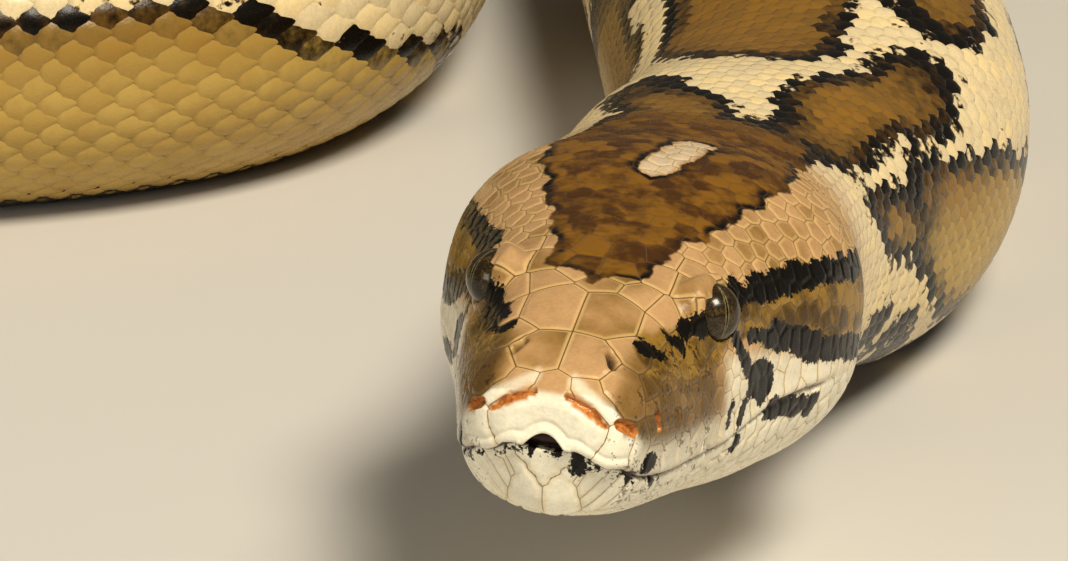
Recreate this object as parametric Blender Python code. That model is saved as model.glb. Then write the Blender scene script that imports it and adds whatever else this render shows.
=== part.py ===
"""A Burmese python at rest in a flat coil, life size, as a still museum model.

The snake lies on the floor (z = 0). Its snout points along -Y; the body runs back from the head,
bends to the left and winds inwards in a flat spiral that ends with the tail in the middle.
All sizes are in metres.
"""

import math
from typing import NamedTuple

import bmesh
import bpy
from mathutils import Matrix, Vector

# --- the coil -------------------------------------------------------------------------------
COIL_RADIUS = 0.262           # first turn, from the coil's centre to the middle of the body
COIL_PITCH = 0.089            # how much the radius shrinks in one turn
COIL_SQUARENESS = 2.8         # exponent of the coil's rounded-square plan, 2 is a circle
COIL_CORNER = math.radians(315.0)   # the corner beside the neck, which is tighter than the others
COIL_CORNER_SPREAD = math.radians(40.0)
COIL_CORNER_SQUARENESS = 5.2
COIL_ROUNDS_FROM = math.radians(330.0)   # the plan turns from rounded square to round between these
COIL_ROUND_BY = math.radians(500.0)
COIL_END = math.radians(835.0)
TRUNK_STEP = math.radians(62.0)
TRUNK_COUNT = 10

# --- the head's place -----------------------------------------------------------------------
HEAD_LENGTH = 0.104           # snout to the back of the head
HEAD_YAW = math.radians(-12.0)
HEAD_PITCH = math.radians(-6.4)
HEAD_ROLL = math.radians(5.0)
HEAD_LIFT = 0.026             # throat above the floor at the back of the head
LEAD_LENGTH = 0.357           # from the back of the head to the start of the coil
NECK_SWING = math.radians(12.5)   # the most that the neck turns to the +X side behind the head
NECK_SWING_LENGTH = 0.12      # that turn is made and undone over this length
NECK_SWING_EARLY = 0.7        # below 1 brings it nearer to the head
NECK_TURN_LENGTH = 0.16       # over this length the neck leaves the head's direction for the coil's
NECK_LENGTH = 0.125
SETTLE_LENGTH = 0.15          # over this length the neck turns from the head's line to the coil's
DESCENT_LENGTH = 0.105        # over this length it comes down from the head's height to the floor

# --- the head's outline, as (distance from the snout, value) ----------------------------------
SNOUT_START = 0.0022
HEAD_HALF_WIDTH = ((0.0022, 0.0062), (0.003, 0.0085), (0.0045, 0.0110), (0.007, 0.0131), (0.012, 0.0150),
                   (0.020, 0.0170), (0.034, 0.0203), (0.048, 0.0240), (0.062, 0.0285), (0.076, 0.0323),
                   (0.088, 0.0336), (0.104, 0.0300))
HEAD_TOP = ((0.0022, 0.0192), (0.003, 0.0212), (0.0045, 0.0227), (0.007, 0.0242), (0.015, 0.0276),
            (0.024, 0.0312), (0.034, 0.0336), (0.055, 0.0374), (0.085, 0.0412), (0.104, 0.0400))
HEAD_BASE = ((0.0022, 0.0118), (0.003, 0.0096), (0.0045, 0.0064), (0.0065, 0.0032), (0.010, 0.0006),
             (0.020, -0.0022), (0.040, -0.0050), (0.065, -0.0082), (0.085, -0.0085), (0.104, -0.0070))
MOUTH_HEIGHT = ((0.0022, 0.0130), (0.004, 0.0115), (0.0065, 0.0096), (0.012, 0.0078), (0.023, 0.0067),
                (0.038, 0.0067), (0.048, 0.0083), (0.057, 0.0101), (0.078, 0.0106))
HEAD_SQUARENESS = 2.35        # exponent of the head's oval section
JAW_SQUARENESS = 3.0          # the same for its lower half
JAW_NARROWING = 0.05          # how much narrower than the head the jaw gets towards the chin
JAW_LENGTH = 0.078

# --- the eyes ---------------------------------------------------------------------------------
EYE_RADIUS = 0.0046
EYE_PLACE = Vector((0.0167, 0.0388, 0.0275))
EYE_SEGMENTS = 16
EYE_RINGS = 9

# --- the body, as (share of the length behind the head, value) ---------------------------------
BODY_HALF_WIDTH = ((0.0, 0.0300), (0.006, 0.0297), (0.020, 0.0335), (0.045, 0.0380), (0.20, 0.0420),
                   (0.42, 0.0440), (0.62, 0.0405), (0.78, 0.0315), (0.87, 0.0220), (0.94, 0.0125),
                   (1.0, 0.0016))
BODY_HEIGHT = ((0.0, 0.0400), (0.006, 0.0410), (0.020, 0.0510), (0.045, 0.0600), (0.20, 0.0650),
               (0.42, 0.0690), (0.62, 0.0640), (0.78, 0.0500), (0.87, 0.0360), (0.94, 0.0210),
               (1.0, 0.0030))
BODY_SQUARENESS = 2.15
BELLY_FLAT = 0.05             # share of the height that the belly is pressed flat by
BODY_SEGMENTS = 22
RING_SPACING = 0.0185

JOINT_GAP = 0.0003            # clearance between neighbouring solids
HEAD_ARC_POINTS = 17
MOUTH_SHEET_POINTS = 5
CENTRELINE_STEP = 0.001
HEADING_SPAN = 0.004


class Finish(NamedTuple):
    """A surface's colour, roughness and metallic value."""

    name: str
    colour: tuple[float, float, float]
    roughness: float
    metallic: float = 0.0


SKIN_FINISH = Finish("python_skin", (0.42, 0.27, 0.13), 0.45)
JAW_FINISH = Finish("python_jaw", (0.78, 0.70, 0.55), 0.45)
EYE_FINISH = Finish("python_eye", (0.05, 0.04, 0.02), 0.08)


def clear_scene():
    """Remove every object of the open scene."""
    for thing in list(bpy.data.objects):
        bpy.data.objects.remove(thing, do_unlink=True)


def profile(points, x):
    """Read a smooth curve through points at x, without overshoot (monotone cubic)."""
    if x <= points[0][0]:
        return points[0][1]
    if x >= points[-1][0]:
        return points[-1][1]
    slopes = [(b[1] - a[1]) / (b[0] - a[0]) for a, b in zip(points, points[1:])]
    place = next(i for i, b in enumerate(points[1:]) if x <= b[0])

    def tangent(i):
        if i == 0 or i == len(points) - 1:
            return slopes[0] if i == 0 else slopes[-1]
        before, after = slopes[i - 1], slopes[i]
        if before * after <= 0.0:
            return 0.0
        return 2.0 * before * after / (before + after)

    (x0, y0), (x1, y1) = points[place], points[place + 1]
    span = x1 - x0
    t = (x - x0) / span
    return ((2 * t**3 - 3 * t**2 + 1) * y0 + (t**3 - 2 * t**2 + t) * span * tangent(place)
            + (3 * t**2 - 2 * t**3) * y1 + (t**3 - t**2) * span * tangent(place + 1))


def smooth_step(t):
    """Rise smoothly from 0 at t = 0 to 1 at t = 1."""
    t = min(max(t, 0.0), 1.0)
    return t * t * (3.0 - 2.0 * t)


def signed_power(value, power):
    """Raise the size of value to power and keep its sign."""
    return math.copysign(abs(value) ** power, value)


def oval(half_width, top, base, squareness, angle):
    """Return (x, z) on a squared oval; angle 0 is the +X side and a quarter turn is the top.

    squareness holds the exponents of the upper and the lower half.
    """
    power = 2.0 / squareness[0 if math.sin(angle) >= 0.0 else 1]
    across = half_width * signed_power(math.cos(angle), power)
    height = (top + base) / 2 + (top - base) / 2 * signed_power(math.sin(angle), power)
    return across, height


# --- centreline --------------------------------------------------------------------------------

def coil_point(turn):
    """Return the coil's centreline at an angle, about the coil's own centre."""
    radius = COIL_RADIUS - COIL_PITCH * turn / math.tau
    nearness = math.exp(-(((turn - COIL_CORNER) / COIL_CORNER_SPREAD) ** 2))
    squareness = COIL_SQUARENESS + (COIL_CORNER_SQUARENESS - COIL_SQUARENESS) * nearness
    squared = (abs(math.cos(turn)) ** squareness + abs(math.sin(turn)) ** squareness) ** (-1.0 / squareness)
    rounded = smooth_step((turn - COIL_ROUNDS_FROM) / (COIL_ROUND_BY - COIL_ROUNDS_FROM))
    shape = squared + (1.0 - squared) * rounded
    return Vector((radius * shape * math.cos(turn), radius * shape * math.sin(turn)))


class Centreline:
    """The middle of the body on the floor, walked from the back of the head to the tail's tip."""

    def __init__(self):
        """Walk the lead from the head and then the coil."""
        start = coil_point(0.0)
        coil_heading = math.atan2(*(coil_point(0.002) - start))
        self.points = []
        steps = round(LEAD_LENGTH / CENTRELINE_STEP)
        place = Vector((0.0, 0.0))
        for i in range(steps):
            self.points.append(place.copy())
            walked = (i + 0.5) * CENTRELINE_STEP
            bend = smooth_step(walked / NECK_TURN_LENGTH)
            swing = NECK_SWING * math.sin(math.pi * min(1.0, walked / NECK_SWING_LENGTH) ** NECK_SWING_EARLY)
            heading = -HEAD_YAW + (coil_heading + HEAD_YAW) * bend + swing
            place += CENTRELINE_STEP * Vector((math.sin(heading), math.cos(heading)))
        self.centre = place - start
        self.coil_starts = len(self.points)
        turn = 0.0
        self.turns = []
        while turn < COIL_END:
            here = coil_point(turn)
            self.points.append(self.centre + here)
            self.turns.append(turn)
            turn += 1e-4 * CENTRELINE_STEP / (coil_point(turn + 1e-4) - here).length
        self.length = (len(self.points) - 1) * CENTRELINE_STEP

    def at_turn(self, turn):
        """Return the distance behind the head at which the coil reaches an angle."""
        index = next((i for i, t in enumerate(self.turns) if t >= turn), len(self.turns) - 1)
        return (self.coil_starts + index) * CENTRELINE_STEP

    def point(self, distance):
        """Return the point at a distance behind the head."""
        index = min(max(distance / CENTRELINE_STEP, 0.0), len(self.points) - 1.001)
        low = int(index)
        return self.points[low].lerp(self.points[low + 1], index - low)

    def frame(self, distance):
        """Return the point and the unit heading at a distance behind the head."""
        along = self.point(distance + HEADING_SPAN) - self.point(distance - HEADING_SPAN)
        return self.point(distance), along.normalized()


# --- the head ----------------------------------------------------------------------------------

def head_matrix():
    """Return the matrix from the head's own frame to the floor's, before the model is centred.

    The head's own frame has the snout at y = 0, the chin near z = 0 and y running backwards. Its back
    lies over the start of the centreline.
    """
    back = Matrix.Translation((0.0, -HEAD_LENGTH, 0.0))
    turned = (Matrix.Rotation(HEAD_YAW, 4, "Z") @ Matrix.Rotation(HEAD_PITCH, 4, "X")
              @ Matrix.Rotation(HEAD_ROLL, 4, "Y"))
    return Matrix.Translation((0.0, 0.0, HEAD_LIFT)) @ turned @ back


def head_section(y, angle):
    """Return a point of the head's outer surface in its own frame."""
    top = profile(HEAD_TOP, y)
    base = profile(HEAD_BASE, y)
    squareness = (HEAD_SQUARENESS, JAW_SQUARENESS)
    across, height = oval(profile(HEAD_HALF_WIDTH, y), top, base, squareness, angle)
    mouth = profile(MOUTH_HEIGHT, y)
    below = smooth_step((mouth - height) / max(mouth - base, 1e-6))
    return Vector((across * (1.0 - JAW_NARROWING * below), y, height))


def mouth_angle(y):
    """Return the section angle at which the head's +X side meets the mouth line."""
    low, high = -math.pi / 2, math.pi / 2
    mouth = profile(MOUTH_HEIGHT, y)
    for _ in range(40):
        middle = (low + high) / 2
        if head_section(y, middle).z < mouth:
            low = middle
        else:
            high = middle
    return (low + high) / 2


def head_arc(y, start, end, count):
    """Return count points of the head's section from one angle to another."""
    return [head_section(y, start + (end - start) * i / (count - 1)) for i in range(count)]


def sheet(left, right, count):
    """Return count points strictly between two points, in a straight line."""
    return [left.lerp(right, (i + 1) / (count + 1)) for i in range(count)]


def upper_ring(y):
    """Return the head's ring above the mouth, closed across the mouth."""
    lip = mouth_angle(y)
    arc = head_arc(y, lip, math.pi - lip, HEAD_ARC_POINTS)
    return arc + sheet(arc[-1], arc[0], MOUTH_SHEET_POINTS)


def full_ring(y):
    """Return the head's whole ring, with as many points as upper_ring gives."""
    lip = mouth_angle(y)
    under = head_arc(y, math.pi - lip, math.tau + lip, MOUTH_SHEET_POINTS + 2)
    return head_arc(y, lip, math.pi - lip, HEAD_ARC_POINTS) + under[1:-1]


def jaw_ring(y):
    """Return the lower jaw's ring, a gap below the head's."""
    lip = mouth_angle(y)
    arc = head_arc(y, math.pi - lip, math.tau + lip, HEAD_ARC_POINTS)
    ring = arc + sheet(arc[-1], arc[0], MOUTH_SHEET_POINTS)
    base = profile(HEAD_BASE, y)
    mouth = profile(MOUTH_HEIGHT, y)
    squeeze = (mouth - base - JOINT_GAP) / (mouth - base)
    return [Vector((p.x, p.y, base + (p.z - base) * squeeze)) for p in ring]


def stations(start, end, first_step, growth, longest):
    """Return places from start to end whose steps grow from first_step up to longest."""
    places = [start]
    step = first_step
    while places[-1] + step * 1.4 < end:
        places.append(places[-1] + step)
        step = min(step * growth, longest)
    return places + [end]


# --- building ------------------------------------------------------------------------------------

def loft(name, rings):
    """Make a closed mesh object through rings of equal point counts, capped at both ends."""
    shape = bmesh.new()
    loops = [[shape.verts.new(point) for point in ring] for ring in rings]
    for before, after in zip(loops, loops[1:]):
        for i, corner in enumerate(before):
            following = (i + 1) % len(before)
            shape.faces.new((corner, before[following], after[following], after[i]))
    shape.faces.new(list(reversed(loops[0])))
    shape.faces.new(loops[-1])
    bmesh.ops.recalc_face_normals(shape, faces=shape.faces)
    mesh = bpy.data.meshes.new(name)
    shape.to_mesh(mesh)
    shape.free()
    mesh.shade_smooth()
    thing = bpy.data.objects.new(name, mesh)
    bpy.context.scene.collection.objects.link(thing)
    return thing


def make_material(finish):
    """Make a Principled material from a finish."""
    material = bpy.data.materials.new(finish.name)
    material.use_nodes = True
    shader = material.node_tree.nodes["Principled BSDF"]
    shader.inputs["Base Color"].default_value = (*finish.colour, 1.0)
    shader.inputs["Roughness"].default_value = finish.roughness
    shader.inputs["Metallic"].default_value = finish.metallic
    return material


def dress(thing, finish):
    """Give an object a material of its own."""
    thing.data.materials.append(make_material(finish._replace(name=thing.name + "_" + finish.name)))
    return thing


def ball(name, centre, radius):
    """Make a closed ball."""
    shape = bmesh.new()
    bmesh.ops.create_uvsphere(shape, u_segments=EYE_SEGMENTS, v_segments=EYE_RINGS, radius=radius)
    bmesh.ops.rotate(shape, verts=shape.verts, matrix=Matrix.Rotation(math.pi / 2, 3, "Y"))
    bmesh.ops.translate(shape, verts=shape.verts, vec=centre)
    mesh = bpy.data.meshes.new(name)
    shape.to_mesh(mesh)
    shape.free()
    mesh.shade_smooth()
    thing = bpy.data.objects.new(name, mesh)
    bpy.context.scene.collection.objects.link(thing)
    return thing


def make_head():
    """Make the head above the mouth, the lower jaw and both eyes in the head's own frame."""
    front = [upper_ring(y) for y in stations(SNOUT_START, JAW_LENGTH + JOINT_GAP, 0.0009, 1.35, 0.008)]
    step_back = JAW_LENGTH + 2 * JOINT_GAP
    rear = [full_ring(y) for y in stations(step_back, HEAD_LENGTH - JOINT_GAP / 2, 0.006, 1.0, 0.009)]
    head = dress(loft("head", front + rear), SKIN_FINISH)
    jaw_places = stations(SNOUT_START + JOINT_GAP, JAW_LENGTH, 0.0009, 1.35, 0.009)
    jaw = dress(loft("lower_jaw", [jaw_ring(y) for y in jaw_places]), JAW_FINISH)
    pieces = [head, jaw]
    for name, side in (("eye_left", 1.0), ("eye_right", -1.0)):
        centre = Vector((side * EYE_PLACE.x, EYE_PLACE.y, EYE_PLACE.z))
        pieces.append(dress(ball(name, centre, EYE_RADIUS), EYE_FINISH))
        socket = ball(name + "_socket", centre, EYE_RADIUS + JOINT_GAP)
        socket.hide_render = True
        socket.display_type = "WIRE"
        cut = head.modifiers.new(name + "_socket", "BOOLEAN")
        cut.object = socket
        cut.operation = "DIFFERENCE"
        cut.solver = "EXACT"
        pieces.append(socket)
    return pieces


def body_ring(line, distance, place_head):
    """Return a ring of the body at a distance behind the head, on the floor.

    Close behind the head the ring is carried over from the head's own tilted frame.
    """
    share = distance / line.length
    top = profile(BODY_HEIGHT, share)
    settled = smooth_step(distance / SETTLE_LENGTH)
    landed = smooth_step(distance / DESCENT_LENGTH)
    base = HEAD_BASE[-1][1] * (1.0 - landed) - BELLY_FLAT * top * landed
    squareness = [n + (BODY_SQUARENESS - n) * settled for n in (HEAD_SQUARENESS, JAW_SQUARENESS)]
    centre, heading = line.frame(distance)
    right = Vector((heading.y, -heading.x, 0.0))
    ring = []
    for i in range(BODY_SEGMENTS):
        angle = math.tau * i / BODY_SEGMENTS + math.pi / 2
        across, height = oval(profile(BODY_HALF_WIDTH, share), top, base, squareness, angle)
        tilted = place_head @ Vector((across, HEAD_LENGTH + distance, height))
        on_floor = Vector((centre.x, centre.y, max(height, 0.0))) + across * right
        point = tilted.lerp(on_floor, settled)
        point.z = tilted.z + (on_floor.z - tilted.z) * landed
        ring.append(point)
    return ring


def make_body(line, place_head):
    """Make the neck, the trunk's lengths and the tail."""
    cuts = [0.0, NECK_LENGTH] + [line.at_turn(TRUNK_STEP * (i + 1)) for i in range(TRUNK_COUNT)]
    cuts.append(line.length)
    names = ["neck"] + [f"trunk_{i + 1}" for i in range(TRUNK_COUNT)] + ["tail"]
    pieces = []
    for name, start, end in zip(names, cuts, cuts[1:]):
        first = start + JOINT_GAP / 2
        last = end - (0.0 if name == "tail" else JOINT_GAP / 2)
        count = max(3, round((end - start) / RING_SPACING))
        rings = [body_ring(line, first + (last - first) * i / count, place_head) for i in range(count + 1)]
        pieces.append(dress(loft(name, rings), SKIN_FINISH))
    return pieces


def centre_on_floor(pieces):
    """Move every piece so that the model's box is centred on the origin."""
    corners = [point.co for piece in pieces for point in piece.data.vertices]
    middle = [(min(c[i] for c in corners) + max(c[i] for c in corners)) / 2 for i in range(2)]
    shift = Matrix.Translation((-middle[0], -middle[1], 0.0))
    for piece in pieces:
        piece.data.transform(shift)


def main():
    """Build the snake."""
    clear_scene()
    line = Centreline()
    place_head = head_matrix()
    head_pieces = make_head()
    for piece in head_pieces:
        piece.data.transform(place_head)
    centre_on_floor(head_pieces + make_body(line, place_head))


main()
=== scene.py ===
"""A Burmese python at rest in a flat coil, life size, dressed in its skin, shields and scales.

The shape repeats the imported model's construction: a centreline that leads from the back of the
head into a flat spiral, and oval sections along it. One skin runs from snout to tail just inside
those solids. Two sheets of head shields, overlapping body scales and belly scutes lie on it, and
all of them read the same markings. Sizes are in metres unless a comment says millimetres.
"""

from __future__ import annotations

import logging
import math
from collections.abc import Callable, Sequence
from dataclasses import dataclass, field
from enum import Enum
from functools import reduce

import bmesh
import bpy
import numpy as np
from mathutils import Matrix, Vector


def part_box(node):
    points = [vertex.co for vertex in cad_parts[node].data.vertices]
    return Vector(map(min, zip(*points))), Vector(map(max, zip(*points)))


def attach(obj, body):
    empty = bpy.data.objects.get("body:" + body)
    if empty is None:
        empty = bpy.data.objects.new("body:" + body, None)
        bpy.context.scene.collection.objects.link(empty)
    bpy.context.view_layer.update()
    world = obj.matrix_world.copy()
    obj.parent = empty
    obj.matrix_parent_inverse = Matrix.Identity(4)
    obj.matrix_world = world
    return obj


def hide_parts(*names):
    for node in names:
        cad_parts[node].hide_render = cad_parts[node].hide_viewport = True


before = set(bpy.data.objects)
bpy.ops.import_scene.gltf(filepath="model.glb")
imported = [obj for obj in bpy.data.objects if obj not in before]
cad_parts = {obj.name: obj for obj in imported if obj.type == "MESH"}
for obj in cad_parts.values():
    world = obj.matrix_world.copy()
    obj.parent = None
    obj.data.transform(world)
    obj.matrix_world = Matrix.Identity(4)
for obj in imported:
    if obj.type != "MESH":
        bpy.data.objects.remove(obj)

LOG = logging.getLogger("python_model")
MM = 0.001
ROOT = "root"
BAKE_MAP = "OFBake"
GROUPS = 4              # how many group distances draw the sutures between the head's shields
NOWHERE = -9            # a marking's distance where it is absent, in millimetres
FLOOR_GAP = 0.05 * MM   # no scale lies lower
SHEETS_MEET = -0.062    # where the two sheets of head shields meet, from the back of the head
SHEETS_END = 0.0075     # where the second one ends

Array = np.ndarray
Points = tuple[tuple[float, float], ...]
Place = tuple[float, float, float]
Stretch = tuple[tuple[float, float], tuple[float, float], float]
Shield = tuple[tuple[float, float, float, float], ...]
Shaped = tuple[Array, dict[str, Array]]
Colour = tuple[float, float, float]
Socket = bpy.types.NodeSocket
Wire = Socket | float
Material = bpy.types.Material
Mesh = bpy.types.Mesh
Piece = bpy.types.Object


# --- small mathematics ---

def smooth(t: Array) -> Array:
    """Rise smoothly from 0 at t = 0 to 1 at t = 1."""
    t = np.clip(t, 0, 1)
    return t * t * (3 - 2 * t)


def bell(distance: Array, width: float) -> Array:
    """Return a bell that is 1 at distance 0 and fades over width."""
    return np.exp(-((distance / width) ** 2))


def signed_power(value: Array, power: Array) -> Array:
    """Raise the size of value to power and keep its sign."""
    return np.sign(value) * np.abs(value) ** power


@dataclass(frozen=True)
class Profile:
    """A smooth curve through a few (place, value) points, without overshoot."""

    points: Points

    def at(self, x: Array) -> Array:
        """Read the curve.

        Args:
            x: places along the curve.

        Returns:
            The values there, held level past both ends.
        """
        places, values = np.array(self.points).T
        slopes = np.diff(values) / np.diff(places)
        before, after = slopes[:-1], slopes[1:]
        turning = before * after <= 0
        total = np.where(turning, 1, before + after)
        inner = np.where(turning, 0, 2 * before * after / total)
        tangent = np.concatenate([slopes[:1], inner, slopes[-1:]])
        x = np.clip(x, places[0], places[-1])
        i = np.clip(np.searchsorted(places, x, side="left") - 1, 0, len(slopes) - 1)
        span = places[i + 1] - places[i]
        t = (x - places[i]) / span
        return ((2 * t**3 - 3 * t**2 + 1) * values[i] + (t**3 - 2 * t**2 + t) * span * tangent[i]
                + (3 * t**2 - 2 * t**3) * values[i + 1] + (t**3 - t**2) * span * tangent[i + 1])


def oval(half_width: Array, top: Array, base: Array, upper: Array, lower: Array,
         angle: Array) -> tuple[Array, Array]:
    """Return (across, height) on a squared oval; angle 0 is the +X side, a quarter turn the top.

    Args:
        half_width: half the oval's width.
        top: height of its highest point.
        base: height of its lowest point.
        upper: exponent of the upper half.
        lower: exponent of the lower half.
        angle: place on the oval.

    Returns:
        The place across and the height.
    """
    power = 2 / np.where(np.sin(angle) >= 0, upper, lower)
    across = half_width * signed_power(np.cos(angle), power)
    return across, (top + base) / 2 + (top - base) / 2 * signed_power(np.sin(angle), power)


def distance_to_line(points: Array, start: Sequence[float], end: Sequence[float]) -> Array:
    """Return how far points are from a straight stretch, in any number of dimensions.

    Args:
        points: rows of coordinates.
        start: one end of the stretch.
        end: the other end.

    Returns:
        A distance for each row.
    """
    a, b = np.array(start, float), np.array(end, float)
    along = np.clip(((points - a) @ (b - a)) / ((b - a) @ (b - a)), 0, 1)
    return np.linalg.norm(points - a - along[:, None] * (b - a), axis=1)


def level(line: Points, x: Array) -> Array:
    """Read a line of straight stretches through (place, value) points."""
    return np.interp(x, *np.array(line).T)


def folded(points: Array) -> Array:
    """Return points of the head with its right half folded over onto its left."""
    return np.concatenate([np.abs(points[:, :1]), points[:, 1:]], axis=1)


def unit(direction: Array) -> Array:
    """Return directions at unit length."""
    return direction / np.maximum(np.linalg.norm(direction, axis=-1, keepdims=True), 1e-12)


# --- the snake's form ---

@dataclass(frozen=True)
class HeadSizes:
    """The head's place and outline, in its own frame: snout at y = 0, y backwards, z up."""

    length: float = 0.104
    yaw: float = math.radians(-12)
    pitch: float = math.radians(-6.4)
    roll: float = math.radians(5)
    lift: float = 0.026
    snout: float = 0.0022
    cap: float = 0.0065
    half_width: Profile = Profile((
        (0.0022, 0.0062), (0.003, 0.0085), (0.0045, 0.011), (0.007, 0.0131), (0.012, 0.015),
        (0.02, 0.017), (0.034, 0.0203), (0.048, 0.024), (0.062, 0.0285), (0.076, 0.0323),
        (0.088, 0.0336), (0.104, 0.03)))
    top: Profile = Profile((
        (0.0022, 0.0192), (0.003, 0.0212), (0.0045, 0.0227), (0.007, 0.0242), (0.015, 0.0276),
        (0.024, 0.0312), (0.034, 0.0336), (0.055, 0.0374), (0.085, 0.0412), (0.104, 0.04)))
    base: Profile = Profile((
        (0.0022, 0.0118), (0.003, 0.0096), (0.0045, 0.0064), (0.0065, 0.0032), (0.01, 0.0006),
        (0.02, -0.0022), (0.04, -0.005), (0.065, -0.0082), (0.085, -0.0085), (0.104, -0.007)))
    mouth: Profile = Profile((
        (0.0022, 0.013), (0.004, 0.0115), (0.0065, 0.0096), (0.012, 0.0078), (0.023, 0.0067),
        (0.038, 0.0067), (0.048, 0.0083), (0.057, 0.0101), (0.078, 0.0106)))
    squareness: float = 2.35
    jaw_squareness: float = 3
    jaw_narrowing: float = 0.05
    jaw_length: float = 0.078

    def lip_line(self, x: Array, y: Array) -> Array:
        """Return the height of the line between the lips, all in millimetres.

        Args:
            x: distances from the head's middle.
            y: distances behind the snout.

        Returns:
            The heights: an arch across the front, then the profile along the sides.
        """
        side = self.mouth.at(y * MM) / MM
        arch = 12.4 - 2.5 * smooth((np.abs(x) - 4.5) / 5.5) + 0.3 * np.maximum(y - 6, 0)
        return np.minimum(side, arch)

    def matrix(self) -> Matrix:
        """Return the matrix from the head's own frame to the floor's."""
        turned = (Matrix.Rotation(self.yaw, 4, "Z") @ Matrix.Rotation(self.pitch, 4, "X")
                  @ Matrix.Rotation(self.roll, 4, "Y"))
        return (Matrix.Translation((0, 0, self.lift)) @ turned
                @ Matrix.Translation((0, -self.length, 0)))


@dataclass(frozen=True)
class CoilSizes:
    """The route of the body behind the head."""

    radius: float = 0.262
    pitch: float = 0.089
    squareness: float = 2.8
    corner: float = math.radians(315)
    corner_spread: float = math.radians(40)
    corner_squareness: float = 5.2
    rounds_from: float = math.radians(330)
    round_by: float = math.radians(500)
    end: float = math.radians(835)
    lead: float = 0.357
    swing: float = math.radians(12.5)
    swing_length: float = 0.12
    swing_early: float = 0.7
    turn_length: float = 0.16
    settle: float = 0.15
    descent: float = 0.105
    step: float = 0.001
    heading_span: float = 0.004


@dataclass(frozen=True)
class BodySizes:
    """The body's sections, by share of the length behind the head."""

    half_width: Profile = Profile((
        (0, 0.03), (0.006, 0.0297), (0.02, 0.0335), (0.045, 0.038), (0.2, 0.042),
        (0.42, 0.044), (0.62, 0.0405), (0.78, 0.0315), (0.87, 0.022), (0.94, 0.0125),
        (1, 0.0016)))
    height: Profile = Profile((
        (0, 0.04), (0.006, 0.041), (0.02, 0.051), (0.045, 0.06), (0.2, 0.065),
        (0.42, 0.069), (0.62, 0.064), (0.78, 0.05), (0.87, 0.036), (0.94, 0.021),
        (1, 0.003)))
    squareness: float = 2.15
    belly_flat: float = 0.05


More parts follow.
